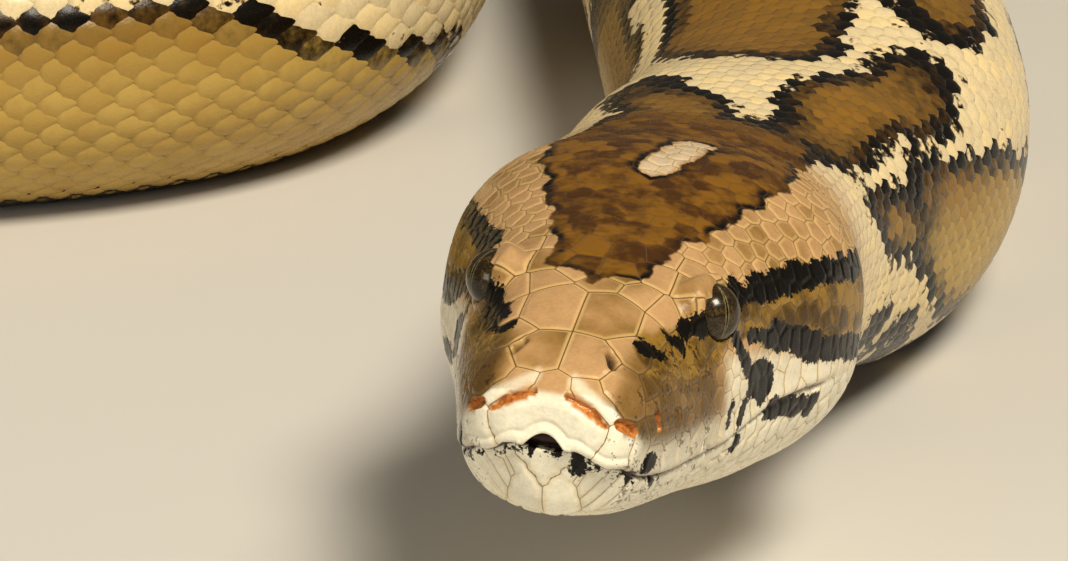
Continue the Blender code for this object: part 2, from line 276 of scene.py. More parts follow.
@dataclass
class SnakeForm:
    """The smooth outer form: a point and a normal for any distance along and angle round.

    Distances are measured from the back of the head, negative inside the head. Past the snout's
    first section they run across its rounded front to the middle.
    """

    head: HeadSizes = field(default_factory=HeadSizes)
    coil: CoilSizes = field(default_factory=CoilSizes)
    body: BodySizes = field(default_factory=BodySizes)

    def __post_init__(self) -> None:
        """Walk the centreline and find the model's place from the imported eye."""
        self._walk()
        low, high = (Vector(corner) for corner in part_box("eye_left"))
        shift = (low + high) / 2 - self.head.matrix() @ Vector(EyeSizes().place)
        self.shift = np.array(shift)
        self.to_floor = np.array(Matrix.Translation(shift) @ self.head.matrix())
        self.to_head = np.linalg.inv(self.to_floor)
        self.snout_end = self.head.snout - self.head.cap - self.head.length

    def _coil_point(self, turn: float) -> Array:
        """Return the coil's centreline at an angle, about its own centre.

        Args:
            turn: the angle walked round the coil.

        Returns:
            The point as x, y.
        """
        sizes = self.coil
        nearness = math.exp(-(((turn - sizes.corner) / sizes.corner_spread) ** 2))
        power = sizes.squareness + (sizes.corner_squareness - sizes.squareness) * nearness
        squared = (abs(math.cos(turn)) ** power + abs(math.sin(turn)) ** power) ** (-1 / power)
        rounded = float(smooth(np.array((turn - sizes.rounds_from)
                                        / (sizes.round_by - sizes.rounds_from))))
        radius = (sizes.radius - sizes.pitch * turn / math.tau) * (squared + (1 - squared) * rounded)
        return radius * np.array((math.cos(turn), math.sin(turn)))

    def _walk(self) -> None:
        """Lay the centreline's points at even steps."""
        sizes, step = self.coil, self.coil.step
        start, probe = self._coil_point(0), 1e-4
        into_coil = math.atan2(*(self._coil_point(0.002) - start))
        place, points = np.zeros(2), []
        steps = round(sizes.lead / step)
        for i in range(steps):
            points.append(place.copy())
            walked = (i + 0.5) * step
            bend = float(smooth(np.array(walked / sizes.turn_length)))
            swung = min(1, walked / sizes.swing_length) ** sizes.swing_early
            heading = (-self.head.yaw + (into_coil + self.head.yaw) * bend
                       + sizes.swing * math.sin(math.pi * swung))
            place += step * np.array((math.sin(heading), math.cos(heading)))
        centre, turn = place - start, 0
        while turn < sizes.end:
            here = self._coil_point(turn)
            points.append(centre + here)
            turn += probe * step / np.linalg.norm(self._coil_point(turn + probe) - here)
        self.centreline = np.array(points)
        self.length = (len(points) - 1) * step

    def _middle(self, distance: Array) -> Array:
        """Return the centreline's points at distances behind the head."""
        marks = np.arange(len(self.centreline)) * self.coil.step
        return np.stack([np.interp(distance, marks, self.centreline[:, i]) for i in range(2)], axis=-1)

    def section(self, along: Array, angle: Array) -> tuple[Array, Array, Array]:
        """Return (across, back, height) in the head's frame as if the body ran straight on.

        Args:
            along: distances behind the head.
            angle: places round the section.

        Returns:
            The three coordinates.
        """
        head, body = self.head, self.body
        y = along + head.length
        front = np.clip((y - head.snout + head.cap) / head.cap, 0, 1)
        y_on = np.maximum(y, head.snout)
        share = np.clip(along / self.length, 0, 1)
        behind = along > 0
        settled = smooth(along / self.coil.settle)
        landed = smooth(along / self.coil.descent)
        width = np.where(behind, body.half_width.at(share), head.half_width.at(y_on))
        top = np.where(behind, body.height.at(share), head.top.at(y_on))
        base = np.where(behind, head.base.points[-1][1] * (1 - landed) - body.belly_flat * top * landed,
                        head.base.at(y_on))
        upper = head.squareness + (body.squareness - head.squareness) * settled
        lower = head.jaw_squareness + (body.squareness - head.jaw_squareness) * settled
        across, height = oval(width, top, base, upper, lower, angle)
        mouth = head.mouth.at(y_on)
        below = smooth((mouth - height) / np.maximum(mouth - base, 1e-6))
        across = across * (1 - np.where(behind, 0, head.jaw_narrowing) * below)
        middle = (top + base) / 2
        dome = 0.1 * MM * (1 - front**2)
        return across * front, y_on - dome, middle + (height - middle) * front

    def place(self, along: Array, angle: Array) -> Array:
        """Return points of the outer form on the floor, as rows of x, y, z.

        Args:
            along: distances behind the head.
            angle: places round the section.

        Returns:
            The points.
        """
        across, back, height = self.section(along, angle)
        straight = np.stack([across, back, height, np.ones_like(across)], axis=-1)
        tilted = (straight @ self.to_floor.T)[..., :3]
        settled = smooth(along / self.coil.settle)[..., None]
        landed = smooth(along / self.coil.descent)
        middle = self._middle(along)
        span = self.coil.heading_span
        heading = unit(self._middle(along + span) - self._middle(along - span))
        right = np.stack([heading[..., 1], -heading[..., 0]], axis=-1)
        flat = middle + self.shift[:2] + across[..., None] * right
        plan = tilted[..., :2] + (flat - tilted[..., :2]) * settled
        rise = tilted[..., 2] + (np.maximum(height, 0) - tilted[..., 2]) * landed
        return np.concatenate([plan, rise[..., None]], axis=-1)

    def normal(self, along: Array, angle: Array) -> Array:
        """Return unit normals that point out of the form.

        Args:
            along: distances behind the head.
            angle: places round the section.

        Returns:
            The normals as rows of x, y, z.
        """
        step, turn = 0.3 * MM, 0.004
        lengthways = self.place(along + step, angle) - self.place(along - step, angle)
        round_way = self.place(along, angle + turn) - self.place(along, angle - turn)
        out = unit(np.cross(lengthways, round_way))
        out[along <= self.snout_end + step] = -self.to_floor[:3, 1]
        return out

    def _ring_steps(self, along: float, marks: int) -> tuple[Array, Array]:
        """Return angles down one side of a section, and the distances between the points there.

        Args:
            along: the section's distance behind the head.
            marks: how many points to lay.

        Returns:
            The angles and the distances, one fewer.
        """
        angle = np.linspace(math.pi / 2, -math.pi / 2, marks)
        points = self.place(np.full_like(angle, along), angle)
        return angle, np.linalg.norm(np.diff(points, axis=0), axis=1)

    def half_ring(self, along: float) -> tuple[Array, Array]:
        """Return angles from the back's middle line to the belly's, and the distances round."""
        angle, steps = self._ring_steps(along, 121)
        return angle, np.concatenate([[0], np.cumsum(steps)])

    def half_girth(self, along: float) -> float:
        """Return half of the distance round the section at a distance along."""
        return float(self._ring_steps(along, 61)[1].sum())

    def ring_angles(self, along: float, distances: Array) -> Array:
        """Return the angles at signed distances round the section from the back's middle line.

        Args:
            along: the section's distance behind the head.
            distances: distances round the surface, positive towards the snake's left.

        Returns:
            The section angles.
        """
        angle, run = self.half_ring(along)
        half = np.interp(np.abs(distances), run, angle)
        return np.where(distances >= 0, half, math.pi - half)

    def local(self, points: Array) -> Array:
        """Return floor points in the head's own frame, in millimetres."""
        return (points @ self.to_head[:3, :3].T + self.to_head[:3, 3]) / MM


@dataclass(frozen=True)
class EyeSizes:
    """The left eye, in the head's own frame; the socket faces along the axis."""

    place: Place = (0.0167, 0.0388, 0.0275)
    radius: float = 0.0046
    axis: Place = (0.9, -0.36, 0.24)
    gaze: Place = (0.66, -0.68, 0.31)
    segments: int = 72
    rings: int = 48


# --- shields, markings and relief ---

@dataclass
class HeadShields:
    """The head's shields: the cells of a weighted diagram about their seeds.

    A seed is (x, y, z, reach) in millimetres, and a shield has one or a few of them. Those of the
    pairs are the left ones.
    """

    form: SnakeForm
    rostral: Shield = ((0, 2.4, 18.4, 4.4), (5.4, 2.6, 16.6, 3), (-5.4, 2.6, 16.6, 3), (0, 3.4, 22.4, 1.6))
    over_pit: Shield = ((5.6, 4.4, 22.4, 1.6), (8.8, 5.2, 20.2, 1.2))
    nose_pairs: Shield = ((4, 10.2, 25.8, 3.6), (10.2, 8.5, 21.6, 3.4), (4.8, 21.6, 30.1, 4.6),
                          (10.2, 16, 26.4, 2.4), (11.6, 22.5, 28.2, 2.4))
    brow_pairs: Shield = ((12.2, 28.5, 29.8, 2.5), (8, 29, 32, 2.2), (3.2, 33.5, 33.4, 2.6),
                          (8.6, 36, 33, 2.8), (14, 36.5, 31.6, 2.9), (13.4, 43, 32.8, 2.4),
                          (8, 43, 34.2, 2.6), (2.8, 41.5, 35, 2.4))
    mental: Shield = ((-2.5, 2.4, 11, 2.1), (2.5, 2.4, 11, 2.1), (0, 2.7, 8.9, 2.4), (0, 3.4, 6.9, 0.9))
    front_lips: tuple[Shield, ...] = (
        ((11.4, 5.4, 15, 1.7), (10.9, 4.8, 13, 1.2)), ((13.6, 8.6, 13.6, 1.7),),
        ((5.9, 2.5, 10.8, 1), (4.3, 3, 8.4, 1), (2.3, 3.9, 6, 1.1), (1.4, 5, 4.3, 1.3)))
    upper_lip: tuple[int, float, float] = (12, 14, 5.2)
    lower_lip_from: float = 8.2
    clear_of_shields: float = 1.35
    clear_of_eye: float = 6.3
    batch: int = 1500
    margin: float = 15
    seed: int = 11

    def __post_init__(self) -> None:
        """Place the seeds and give each one a group code that differs from its neighbours'."""
        self.rng = np.random.default_rng(self.seed)
        singles = [(seed,) for seed in self.nose_pairs + self.brow_pairs]
        shields = [self.rostral, *self._mirrored([self.over_pit, *singles]),
                   self.mental, *self._mirrored([*self.front_lips, *self._lips()])]
        self.seeds = np.array([s[:3] for shield in shields for s in shield])
        self.reach = np.array([s[3] for shield in shields for s in shield])
        self.kin = np.repeat(np.arange(len(shields)), [len(shield) for shield in shields])
        self._small_scales()
        self.kin = np.append(self.kin, len(shields) + np.arange(len(self.seeds) - len(self.kin)))
        self.tone = self.rng.random(self.kin[-1] + 1)[self.kin]
        self.code = self._codes()
        self.low = self._under_mouth(self.seeds)

    def _mirrored(self, shields: Sequence[Shield]) -> list[Shield]:
        """Return each shield and its twin on the other side of the head."""
        twins = ((shield, tuple((-seed[0], *seed[1:]) for seed in shield)) for shield in shields)
        return [shield for pair in twins for shield in pair]

    def _lips(self) -> list[Shield]:
        """Return the upper and lower lips' shields along the left side."""
        count, first, pitch = self.upper_lip
        lips = [self._lip_shield(first + pitch * i, 3.2, 0, 1.9)[:1] for i in range(count)]
        ys = np.linspace(1.5, 74, 300)
        xs = np.array([self._half_width_at(v, self._mouth(v) - 1.6) for v in ys])
        arcs = np.concatenate([[0], np.cumsum(np.hypot(np.diff(xs), np.diff(ys)))]) + xs[0]
        arc = self.lower_lip_from
        while arc < arcs[-1]:
            y = float(np.interp(arc, arcs, ys))
            lips.append(self._lip_shield(y, -1.5, -min(4.6, 2.6 + 0.12 * y), 0.9))
            arc += 2.3 + 1.1 * min(1, y / 30)
        return lips

    def _under_mouth(self, points: Array) -> Array:
        """Return 1 for points below the mouth line, -1 above it and 0 behind its end.

        Args:
            points: rows of x, y, z in the head's frame, in millimetres.

        Returns:
            A number for each row.
        """
        line = self.form.head.lip_line(np.abs(points[:, 0]), points[:, 1])
        side = np.where(points[:, 2] < line, 1, -1)
        return np.where(points[:, 1] < self.form.head.jaw_length / MM - 4, side, 0)

    def _mouth(self, y: float) -> float:
        """Return the mouth line's height at a distance behind the snout, in millimetres."""
        return float(self.form.head.mouth.at(np.array(y * MM))) / MM

    def _lip_shield(self, y: float, near: float, deep: float, reach: float) -> Shield:
        """Return a lip shield's two seeds, near the mouth line and further from it.

        Args:
            y: how far behind the snout it lies, in millimetres.
            near: the first seed's height over the line.
            deep: the second seed's height over the first.
            reach: how far the shield reaches.

        Returns:
            The seeds.
        """
        z, ahead = self._mouth(y) + near, max(0.6, y - 0.7)
        across = self._half_width_at(y, z)
        below = max(across - 1.4 - 1.2 * max(0, 1 - y / 10), self._half_width_at(ahead, z + deep))
        return (across, y, z, reach), (below, ahead, z + deep, reach)

    def _half_width_at(self, y: float, z: float) -> float:
        """Return the head's half width at a height, all in millimetres.

        Args:
            y: the distance behind the snout.
            z: the height in the head's frame.

        Returns:
            The half width.
        """
        angle = np.linspace(-math.pi / 2, math.pi / 2, 181)
        along = np.full_like(angle, y * MM - self.form.head.length)
        across, _, height = self.form.section(along, angle)
        return float(np.interp(z, height / MM, across / MM))

    def _small_scales(self) -> None:
        """Fill the temples, crown, cheeks, throat and nape with rows of small scales."""
        places = np.array(self._scatter_small())
        along = places[:, 0] * MM - self.form.head.length
        angles = np.concatenate([
            self.form.ring_angles(s, arc * MM) for s, arc in zip(along, places[:, 1:])])
        small = np.stack(self.form.section(along, angles), axis=1) / MM
        eye = np.array(EyeSizes().place) / MM
        near = np.linalg.norm(small[:, None] - self.seeds[None], axis=2) - self.reach[None]
        side, back, height = folded(small).T
        clear = near.min(axis=1) > self.clear_of_shields
        clear &= np.linalg.norm(folded(small) - eye, axis=1) > self.clear_of_eye
        clear &= ~((back < 28) & (side < 13) & (height > 15))
        ring, keep = self._eye_ring(eye), small[clear]
        self.seeds = np.concatenate([self.seeds, ring, keep])
        self.reach = np.concatenate([self.reach, np.full(len(ring), 1), np.zeros(len(keep))])

    def _scatter_small(self) -> list[tuple[float, float]]:
        """Return uneven rows of (distance behind the snout, distance round) in millimetres."""
        places, y, row = [], 14, 0
        while y < 116:
            spacing = 2.6 + 1.3 * min(1, max(0, y - 20) / 30) - 0.5 * max(0, y - 80) / 36
            half = self.form.half_girth(y * MM - self.form.head.length) / MM
            count = max(2, round(half / spacing))
            for i in range(-count, count + 1):
                arc = (i + 0.5 * (row % 2)) * half / count
                if abs(arc) <= half:
                    arc += spacing * 0.12 * self.rng.standard_normal()
                    places.append((y + spacing * 0.12 * self.rng.standard_normal(), arc))
            y += spacing * 0.86
            row += 1
        return places

    def _eye_ring(self, eye: Array) -> Array:
        """Return seeds for the ring of small scales round each eye.

        Args:
            eye: the left eye's middle, in millimetres.

        Returns:
            Rows of x, y, z.
        """
        axis = Vector(EyeSizes().axis).normalized()
        upward = (Vector((0, 0, 1)) - axis * axis.z).normalized()
        sideways = axis.cross(upward)
        ring = []
        for side in (1, -1):
            for i in range(10):
                turn = math.tau * (i + 0.5) / 10
                spot = (Vector(eye) + axis * 1.6
                        + (upward * math.sin(turn) + sideways * math.cos(turn)) * 5.3)
                ring.append((side * spot.x, spot.y, spot.z))
        return np.array(ring)

    def _codes(self) -> Array:
        """Return a group number for each seed: its shield's, unlike those of the shields round it."""
        apart = np.linalg.norm(self.seeds[:, None] - self.seeds[None], axis=2)
        apart -= 0.8 * (self.reach[:, None] + self.reach[None])
        nearest = np.argsort(apart, axis=1)[:, 1:17]
        codes = np.full(len(self.seeds), -1)
        for kin in dict.fromkeys(self.kin[np.argsort(-self.reach, kind="stable")]):
            members = np.flatnonzero(self.kin == kin)
            used = set(codes[nearest[members]].ravel()) - {-1}
            codes[members] = next((c for c in range(2**GROUPS) if c not in used), 0)
        return codes

    def read(self, points: Array) -> dict[str, Array]:
        """Measure the cells at points given in the head's frame, in millimetres.

        Args:
            points: rows of x, y, z.

        Returns:
            "edge": distance to the nearest shield's edge; "tone": the shield's random value;
            "group_0" and on: signed distances whose zero lines are the edges between shields.
        """
        count = len(points)
        found = {"edge": np.empty(count), "tone": np.empty(count), "reach": np.empty(count)}
        found |= {f"group_{g}": np.empty(count) for g in range(GROUPS)}
        order = np.lexsort((points[:, 0], np.round(points[:, 1] / 5)))
        for start in range(0, count, self.batch):
            part = order[start:start + self.batch]
            here = points[part]
            low, high = here.min(axis=0) - self.margin, here.max(axis=0) + self.margin
            near = np.flatnonzero(((self.seeds > low) & (self.seeds < high)).all(axis=1))
            if len(near) < 8:
                near = np.arange(len(self.seeds))
            self._read_batch(here, near, part, found)
        return found

    def _read_batch(self, here: Array, near: Array, part: Array, found: dict[str, Array]) -> None:
        """Measure the cells of a few points against the seeds near them.

        Args:
            here: the points.
            near: which seeds to compare.
            part: where to write the results.
            found: the arrays to write to.
        """
        seeds, reach, code = self.seeds[near], self.reach[near], self.code[near]
        power = (seeds**2).sum(axis=1) - reach**2 - 2 * here @ seeds.T
        across = self._under_mouth(here)[:, None] * self.low[near][None] < 0
        power = np.where(across, 1e6, power)
        rows = np.arange(len(here))
        first = power.argmin(axis=1)
        found["tone"][part] = self.tone[near][first]
        found["reach"][part] = reach[first]
        for g in range(GROUPS):
            member = (code >> g) & 1 == 1
            inside = np.where(member[None], power, np.inf)
            outside = np.where(member[None], np.inf, power)
            a, b = inside.argmin(axis=1), outside.argmin(axis=1)
            gap = 2 * np.maximum(np.linalg.norm(seeds[a] - seeds[b], axis=1), 0.1)
            with np.errstate(invalid="ignore"):
                away = (outside[rows, b] - inside[rows, a]) / gap
            found[f"group_{g}"][part] = np.nan_to_num(away, nan=9, posinf=9, neginf=-9)
        edges = [np.abs(found[f"group_{g}"][part]) for g in range(GROUPS)]
        found["edge"][part] = np.minimum.reduce(edges)


@dataclass(frozen=True)
class Stroke:
    """A black stroke on the side of the head, made of straight stretches.

    A stretch is its two ends, as distances behind the snout and heights, and how much thinner the
    stroke is there. All sizes are in millimetres.
    """

    half_width: float
    stretches: tuple[Stretch, ...]
    fade: float = 0
    ends_at: float = 999

    def read(self, side: Array) -> Array:
        """Return how far inside the stroke's edge points are, given as rows of (y, z)."""
        away = [distance_to_line(side, start, end) + thinner for start, end, thinner in self.stretches]
        return self.half_width - np.minimum.reduce(away)


@dataclass(frozen=True)
class HeadMarks:
    """The head's markings: outlines as (distance behind the snout, value), in millimetres."""

    crown_width: Profile = Profile((
        (29, 7), (35, 8.3), (43, 9), (52.5, 11.8), (60, 14.4), (69, 16.8),
        (77, 18.6), (86, 20), (104, 18.5), (125, 15.5)))
    crown_front: float = 29
    crown_mark: Points = ((-0.2, 73), (3.2, 90))
    crown_mark_width: Points = ((70, 2.3), (77, 3.3), (88, 3.3))
    strokes: tuple[Stroke, ...] = (
        Stroke(1.9, (((44, 28.9), (66, 28.6), 0), ((66, 28.6), (108, 24.6), 0)), fade=1.6),
        Stroke(2, (((47, 22.6), (56, 21), 0.7), ((56, 21.4), (68, 16.8), -0.6),
                     ((68, 16.8), (104, 9.5), -0.2)), fade=1.6),
        Stroke(1.5, (((41, 24), (45.5, 17.6), 0), ((48.5, 15.6), (51, 14.2), -1.9))),
        Stroke(1.5, (((40.5, 13.2), (39.6, 9.6), 0.6), ((45, 12.2), (44, 9.8), 0.7))),
        Stroke(1.7, (((55, 9.6), (69.5, 7), -0.2),)),
        Stroke(1.25, (((30, 26.9), (35, 27.1), -0.2), ((25, 26.8), (27, 25.4), 0.35),
                      ((18.3, 26.2), (20.6, 25), -0.1)), ends_at=38),
        Stroke(1.1, (((46, 6), (46.5, 4.6), 0),)),
        Stroke(1.6, (((10.8, 9.4), (12.6, 10.8), 0),), ends_at=18))
    # painted shade: a black patch on the face's right side only, where that side lies in shade
    right_painted_shade: Stroke = Stroke(2.3, (((22, 25.8), (31, 26.2), 0),))
    band_low: Points = ((43, 23), (56, 21), (68, 16.5), (104, 9.5))
    band_high: Points = ((44, 29.4), (66, 29), (108, 25))
    fade_from: float = 91
    fade_over: float = 18
    side_from: float = 9


@dataclass
class Markings:
    """Where the animal is brown, black, olive or cream, as distances in millimetres.

    A blotch is (along, round, reach along, reach round, lean); a spot has no lean.
    """

    form: SnakeForm
    marks: HeadMarks = field(default_factory=HeadMarks)
    saddle_spacing: float = 58
    first_saddle: float = 172
    nape_blotches: tuple[tuple[float, ...], ...] = (
        (20, -6.5, 25, 10, -0.55), (11, -10, 11, 8, 0), (5, 8, 16, 14.5, 0.1),
        (49, 19.6, 41, 10.6, 0.13), (101, -12, 41, 18.5, -0.15),
        (120, 21.5, 24, 10.5, 0.1), (112, -58, 72, 20, 0), (80, 56, 37, 15.5, 0.4),
        (138, 58, 20, 15, 0), (38, 40, 20, 7, 0.5), (20, -52, 20, 14, 0.1))
    flank_blotch: tuple[float, ...] = (1640, 77, 64, 28, 0.3)
    nape_spots: tuple[tuple[float, ...], ...] = (
        (49, 71.5, 9, 5.5), (66, 78, 8, 5.5), (31, 56, 7, 4.5), (43, 63.5, 8, 3.6),
        (90, 84, 9, 6), (47, -72, 9, 6), (70, -80, 9, 6))
    seed: int = 5
    batch: int = 24

    def __post_init__(self) -> None:
        """Scatter the blotches' seeds along the body."""
        self.blotches = self._seed_blotches(np.random.default_rng(self.seed))

    def _seed_blotches(self, rng: np.random.Generator) -> Array:
        """Return the saddles and the side blotches, one a row.

        Args:
            rng: the source of the blotches' unevenness.

        Returns:
            The rows.
        """
        seeds = list(self.nape_blotches)
        along, total = self.first_saddle, self.form.length / MM
        while along < total - 25:
            girth = self.form.half_girth(along * MM) / MM
            step = self.saddle_spacing * (0.42 + 0.58 * min(1, girth / 95))
            lean = 0.07 * girth * rng.standard_normal()
            seeds.append((along + 3 * rng.standard_normal(), lean, step * (0.43 + 0.04 * rng.random()),
                          girth * (0.37 + 0.12 * rng.random()), 0.22 * rng.standard_normal()))
            for side in (-1, 1) if along / total < 0.93 else ():
                seeds.append((along + step * (0.5 + 0.1 * rng.standard_normal()),
                              side * girth * (0.72 + 0.03 * rng.standard_normal()),
                              step * (0.38 + 0.05 * rng.random()), girth * 0.19,
                              0.15 * rng.standard_normal()))
                if rng.random() < 0.55:
                    seeds.append((along + step * 0.04 * rng.standard_normal(),
                                  side * girth * 0.88, step * 0.2, girth * 0.055, 0))
            along += step
        place, way, reach = self.flank_blotch[:3]
        clear = [s for s in seeds if not (abs(s[0] - place) < reach + s[2] and s[1] > 0.4 * way)]
        return np.array([*clear, self.flank_blotch])

    def body(self, along: Array, round_way: Array, girth: Array) -> dict[str, Array]:
        """Measure the body's markings.

        Args:
            along: distances behind the head in millimetres.
            round_way: signed distances round from the back's middle line in millimetres.
            girth: half girths there in millimetres.

        Returns:
            The markings' distances by name.
        """
        wobble = 2 * np.sin(along / 9 + round_way / 13) + 1.4 * np.sin(along / 5.3 - round_way / 6.1)
        loose = smooth((along - 160) / 80) * smooth(girth / 60)
        wobble += 3.4 * loose * np.sin(round_way / 9.5 + along / 41)
        s = along + wobble
        d = round_way + 1.3 * np.sin(along / 7.1 + 1.3) + 4 * loose * np.sin(along / 13.7 + 0.8)
        best = np.full(len(s), -30)
        for start in range(0, len(self.blotches), self.batch):
            place, way, reach_along, reach_round, lean = self.blotches[start:start + self.batch].T
            u = (s[:, None] - place) / reach_along
            v = (d[:, None] - way - lean * (s[:, None] - place)) / reach_round
            reach = (np.abs(u)**2.7 + np.abs(v)**2.7) ** (1 / 2.7)
            size = np.minimum(reach_along, reach_round)
            best = np.maximum(best, ((1 - reach) * size).max(axis=1))
        share = np.abs(round_way) / girth
        belly, flank = smooth((share - 0.8) / 0.14), smooth((share - 0.37) / 0.21)
        spots = 2.2 * np.sin(along / 6.3) * np.sin(round_way / 5.1 + along / 17) - 1.5
        ink = np.where(belly > 0.2, spots, NOWHERE)
        for place, way, reach_along, reach_round in self.nape_spots:
            reach = np.hypot((s - place) / reach_along, (d - way) / reach_round)
            ink = np.maximum(ink, (1 - reach) * reach_round)
        return {"blotch": best, "ink": ink, "olive": flank * 6 - 3, "cream": 0.8 + 0.2 * belly,
                "speck": 0.15 * flank}

    def head(self, p: Array) -> dict[str, Array]:
        """Measure the head's markings at points in its own frame, in millimetres.

        Args:
            p: rows of x, y, z.

        Returns:
            The markings' distances by name.
        """
        x, y, z = folded(p).T
        above = z - self.form.head.lip_line(x, y)
        ripple = 0.55 * np.sin(y / 1.9 + p[:, 0] / 2.3) + 0.4 * np.sin(y / 0.9 - p[:, 2] / 1.1)
        crown, crown_mark = self._crown(p, ripple)
        fade = smooth((y - self.marks.fade_from) / self.marks.fade_over)
        loreal = 3.7 - np.hypot((y - 26) * 0.36, z - 24.2 + 0.06 * (y - 26))
        band = np.minimum(z - level(self.marks.band_low, y), level(self.marks.band_high, y) - z)
        band = np.minimum(band, y - 42) - 5 * fade
        olive = np.where(x > self.marks.side_from, np.maximum(band, loreal), NOWHERE) + 0.7 * ripple
        # the face's sides and the loreal hollow: partly real mottling and freckles, partly painted shade on
        # the face's sides
        face = smooth((42 - y) / 10) * smooth((x - 7) / 4) * smooth((28 - z) / 3)
        by_lip = bell(above + 1, 1.3) * smooth((14 - y) / 4)
        face = np.maximum.reduce([0.8 * face, smooth(loreal / 2), 1.3 * by_lip])
        return {"blotch": crown, "ink": self._ink(p, above, fade, ripple), "olive": olive,
                "cream": np.maximum(self._cream(x, y, z, above), 0.4 * smooth(crown_mark)), "speck": face}

    def _crown(self, p: Array, ripple: Array) -> tuple[Array, Array]:
        """Return the crown's arrowhead and the pale mark at its rear.

        Args:
            p: points in the head's frame.
            ripple: how uneven the edges are there.

        Returns:
            The distances inside the two.
        """
        x, y, on_top = np.abs(p[:, 0]), p[:, 1], p[:, 2] > 20
        front = (y - self.marks.crown_front - 0.78 * x) * 0.8
        crown = np.minimum(self.marks.crown_width.at(y) - x, front) + ripple
        away = distance_to_line(p[:, :2], *self.marks.crown_mark)
        mark = level(self.marks.crown_mark_width, y) - away + 0.4 * ripple
        mark = np.where(on_top, mark, NOWHERE)
        return np.minimum(np.where(on_top, crown, NOWHERE), -mark), mark

    def _ink(self, p: Array, above: Array, fade: Array, ripple: Array) -> Array:
        """Return the black strokes of the side, the black flecks by the mouth and a black patch of painted
        shade on the face's right side.

        Args:
            p: points in the head's frame.
            above: their heights over the mouth line.
            fade: how far the long strokes have tapered, from 0 to 1.
            ripple: how uneven the edges are.

        Returns:
            The distances inside the black.
        """
        x, y, side = np.abs(p[:, 0]), p[:, 1], p[:, 1:]
        strokes = [np.where((x > self.marks.side_from) & (y < stroke.ends_at),
                            stroke.read(side) - stroke.fade * fade, NOWHERE)
                   for stroke in self.marks.strokes]
        # painted shade: black on the face's right side only, where that side lies in shade
        shade = np.where(p[:, 0] < -8, self.marks.right_painted_shade.read(side), NOWHERE)
        ink = np.maximum.reduce([*strokes, shade]) + 0.45 * ripple
        flecks = (0.5 * np.sin(p[:, 0] * 2.9 + 1) + 0.5 * np.sin(p[:, 0] * 1.7 + p[:, 1] * 2.1)
                  - 0.1 - np.abs(above) * 0.36)
        chip = np.hypot(p[:, 0] - 5.4, (above + 1.7) * 0.8)
        ink = np.maximum(ink, np.where(y < 8, 1.2 - chip, NOWHERE))
        return np.maximum(ink, np.where((y < 20) & (above < 0.8), flecks, NOWHERE))

    def _cream(self, x: Array, y: Array, z: Array, above: Array) -> Array:
        """Return how pale the snout's front, the lips and the jaw are, from 0 to 1, with a painted
        highlight as pale strips on the snout's front above the pits.

        Args:
            x: distances from the head's middle.
            y: distances behind the snout.
            z: heights.
            above: heights over the mouth line.

        Returns:
            The paleness.
        """
        rostral = (3.6 - np.maximum(z - 18.2, 0) - 0.9 * np.maximum(x - 9.4, 0)
                   - 0.9 * np.maximum(y - 3.6, 0))
        first_lip = 2.4 - np.hypot((x - 11.5) * 0.7, (z - 13.2) * 0.7) - np.maximum(y - 9, 0)
        # painted highlight: pale strips on the snout's front, above the pits
        snout_highlight = 1.2 - np.abs(distance_to_line(np.stack([x, z], axis=1), (2.8, 23.2), (9, 19.6)))
        snout_highlight = np.where(y < 8, snout_highlight, NOWHERE)
        return np.maximum.reduce([
            smooth(np.maximum(rostral, first_lip) / 1.2),
            0.6 * smooth(snout_highlight),
            smooth((0.2 - above) / 0.8),
            0.85 * smooth((24.5 - 0.16 * (y - 30) - z) / 4) * smooth((y - 36) / 4),
            0.65 * smooth((7.5 - above) / 4)])

    def read(self, along: Array, round_way: Array, girth: Array, local: Array) -> dict[str, Array]:
        """Blend the head's markings into the body's across the nape.

        Args:
            along: distances behind the head in metres.
            round_way: signed distances round from the back's middle line in metres.
            girth: half girths there in metres.
            local: the same points in the head's frame, in millimetres.

        Returns:
            The markings' distances by name.
        """
        body = self.body(along / MM, round_way / MM, girth / MM)
        head = self.head(local)
        share = smooth((along / MM + 4) / 22)
        values = {name: head[name] + (body[name] - head[name]) * share for name in body}
        return values | {"trunk": share}


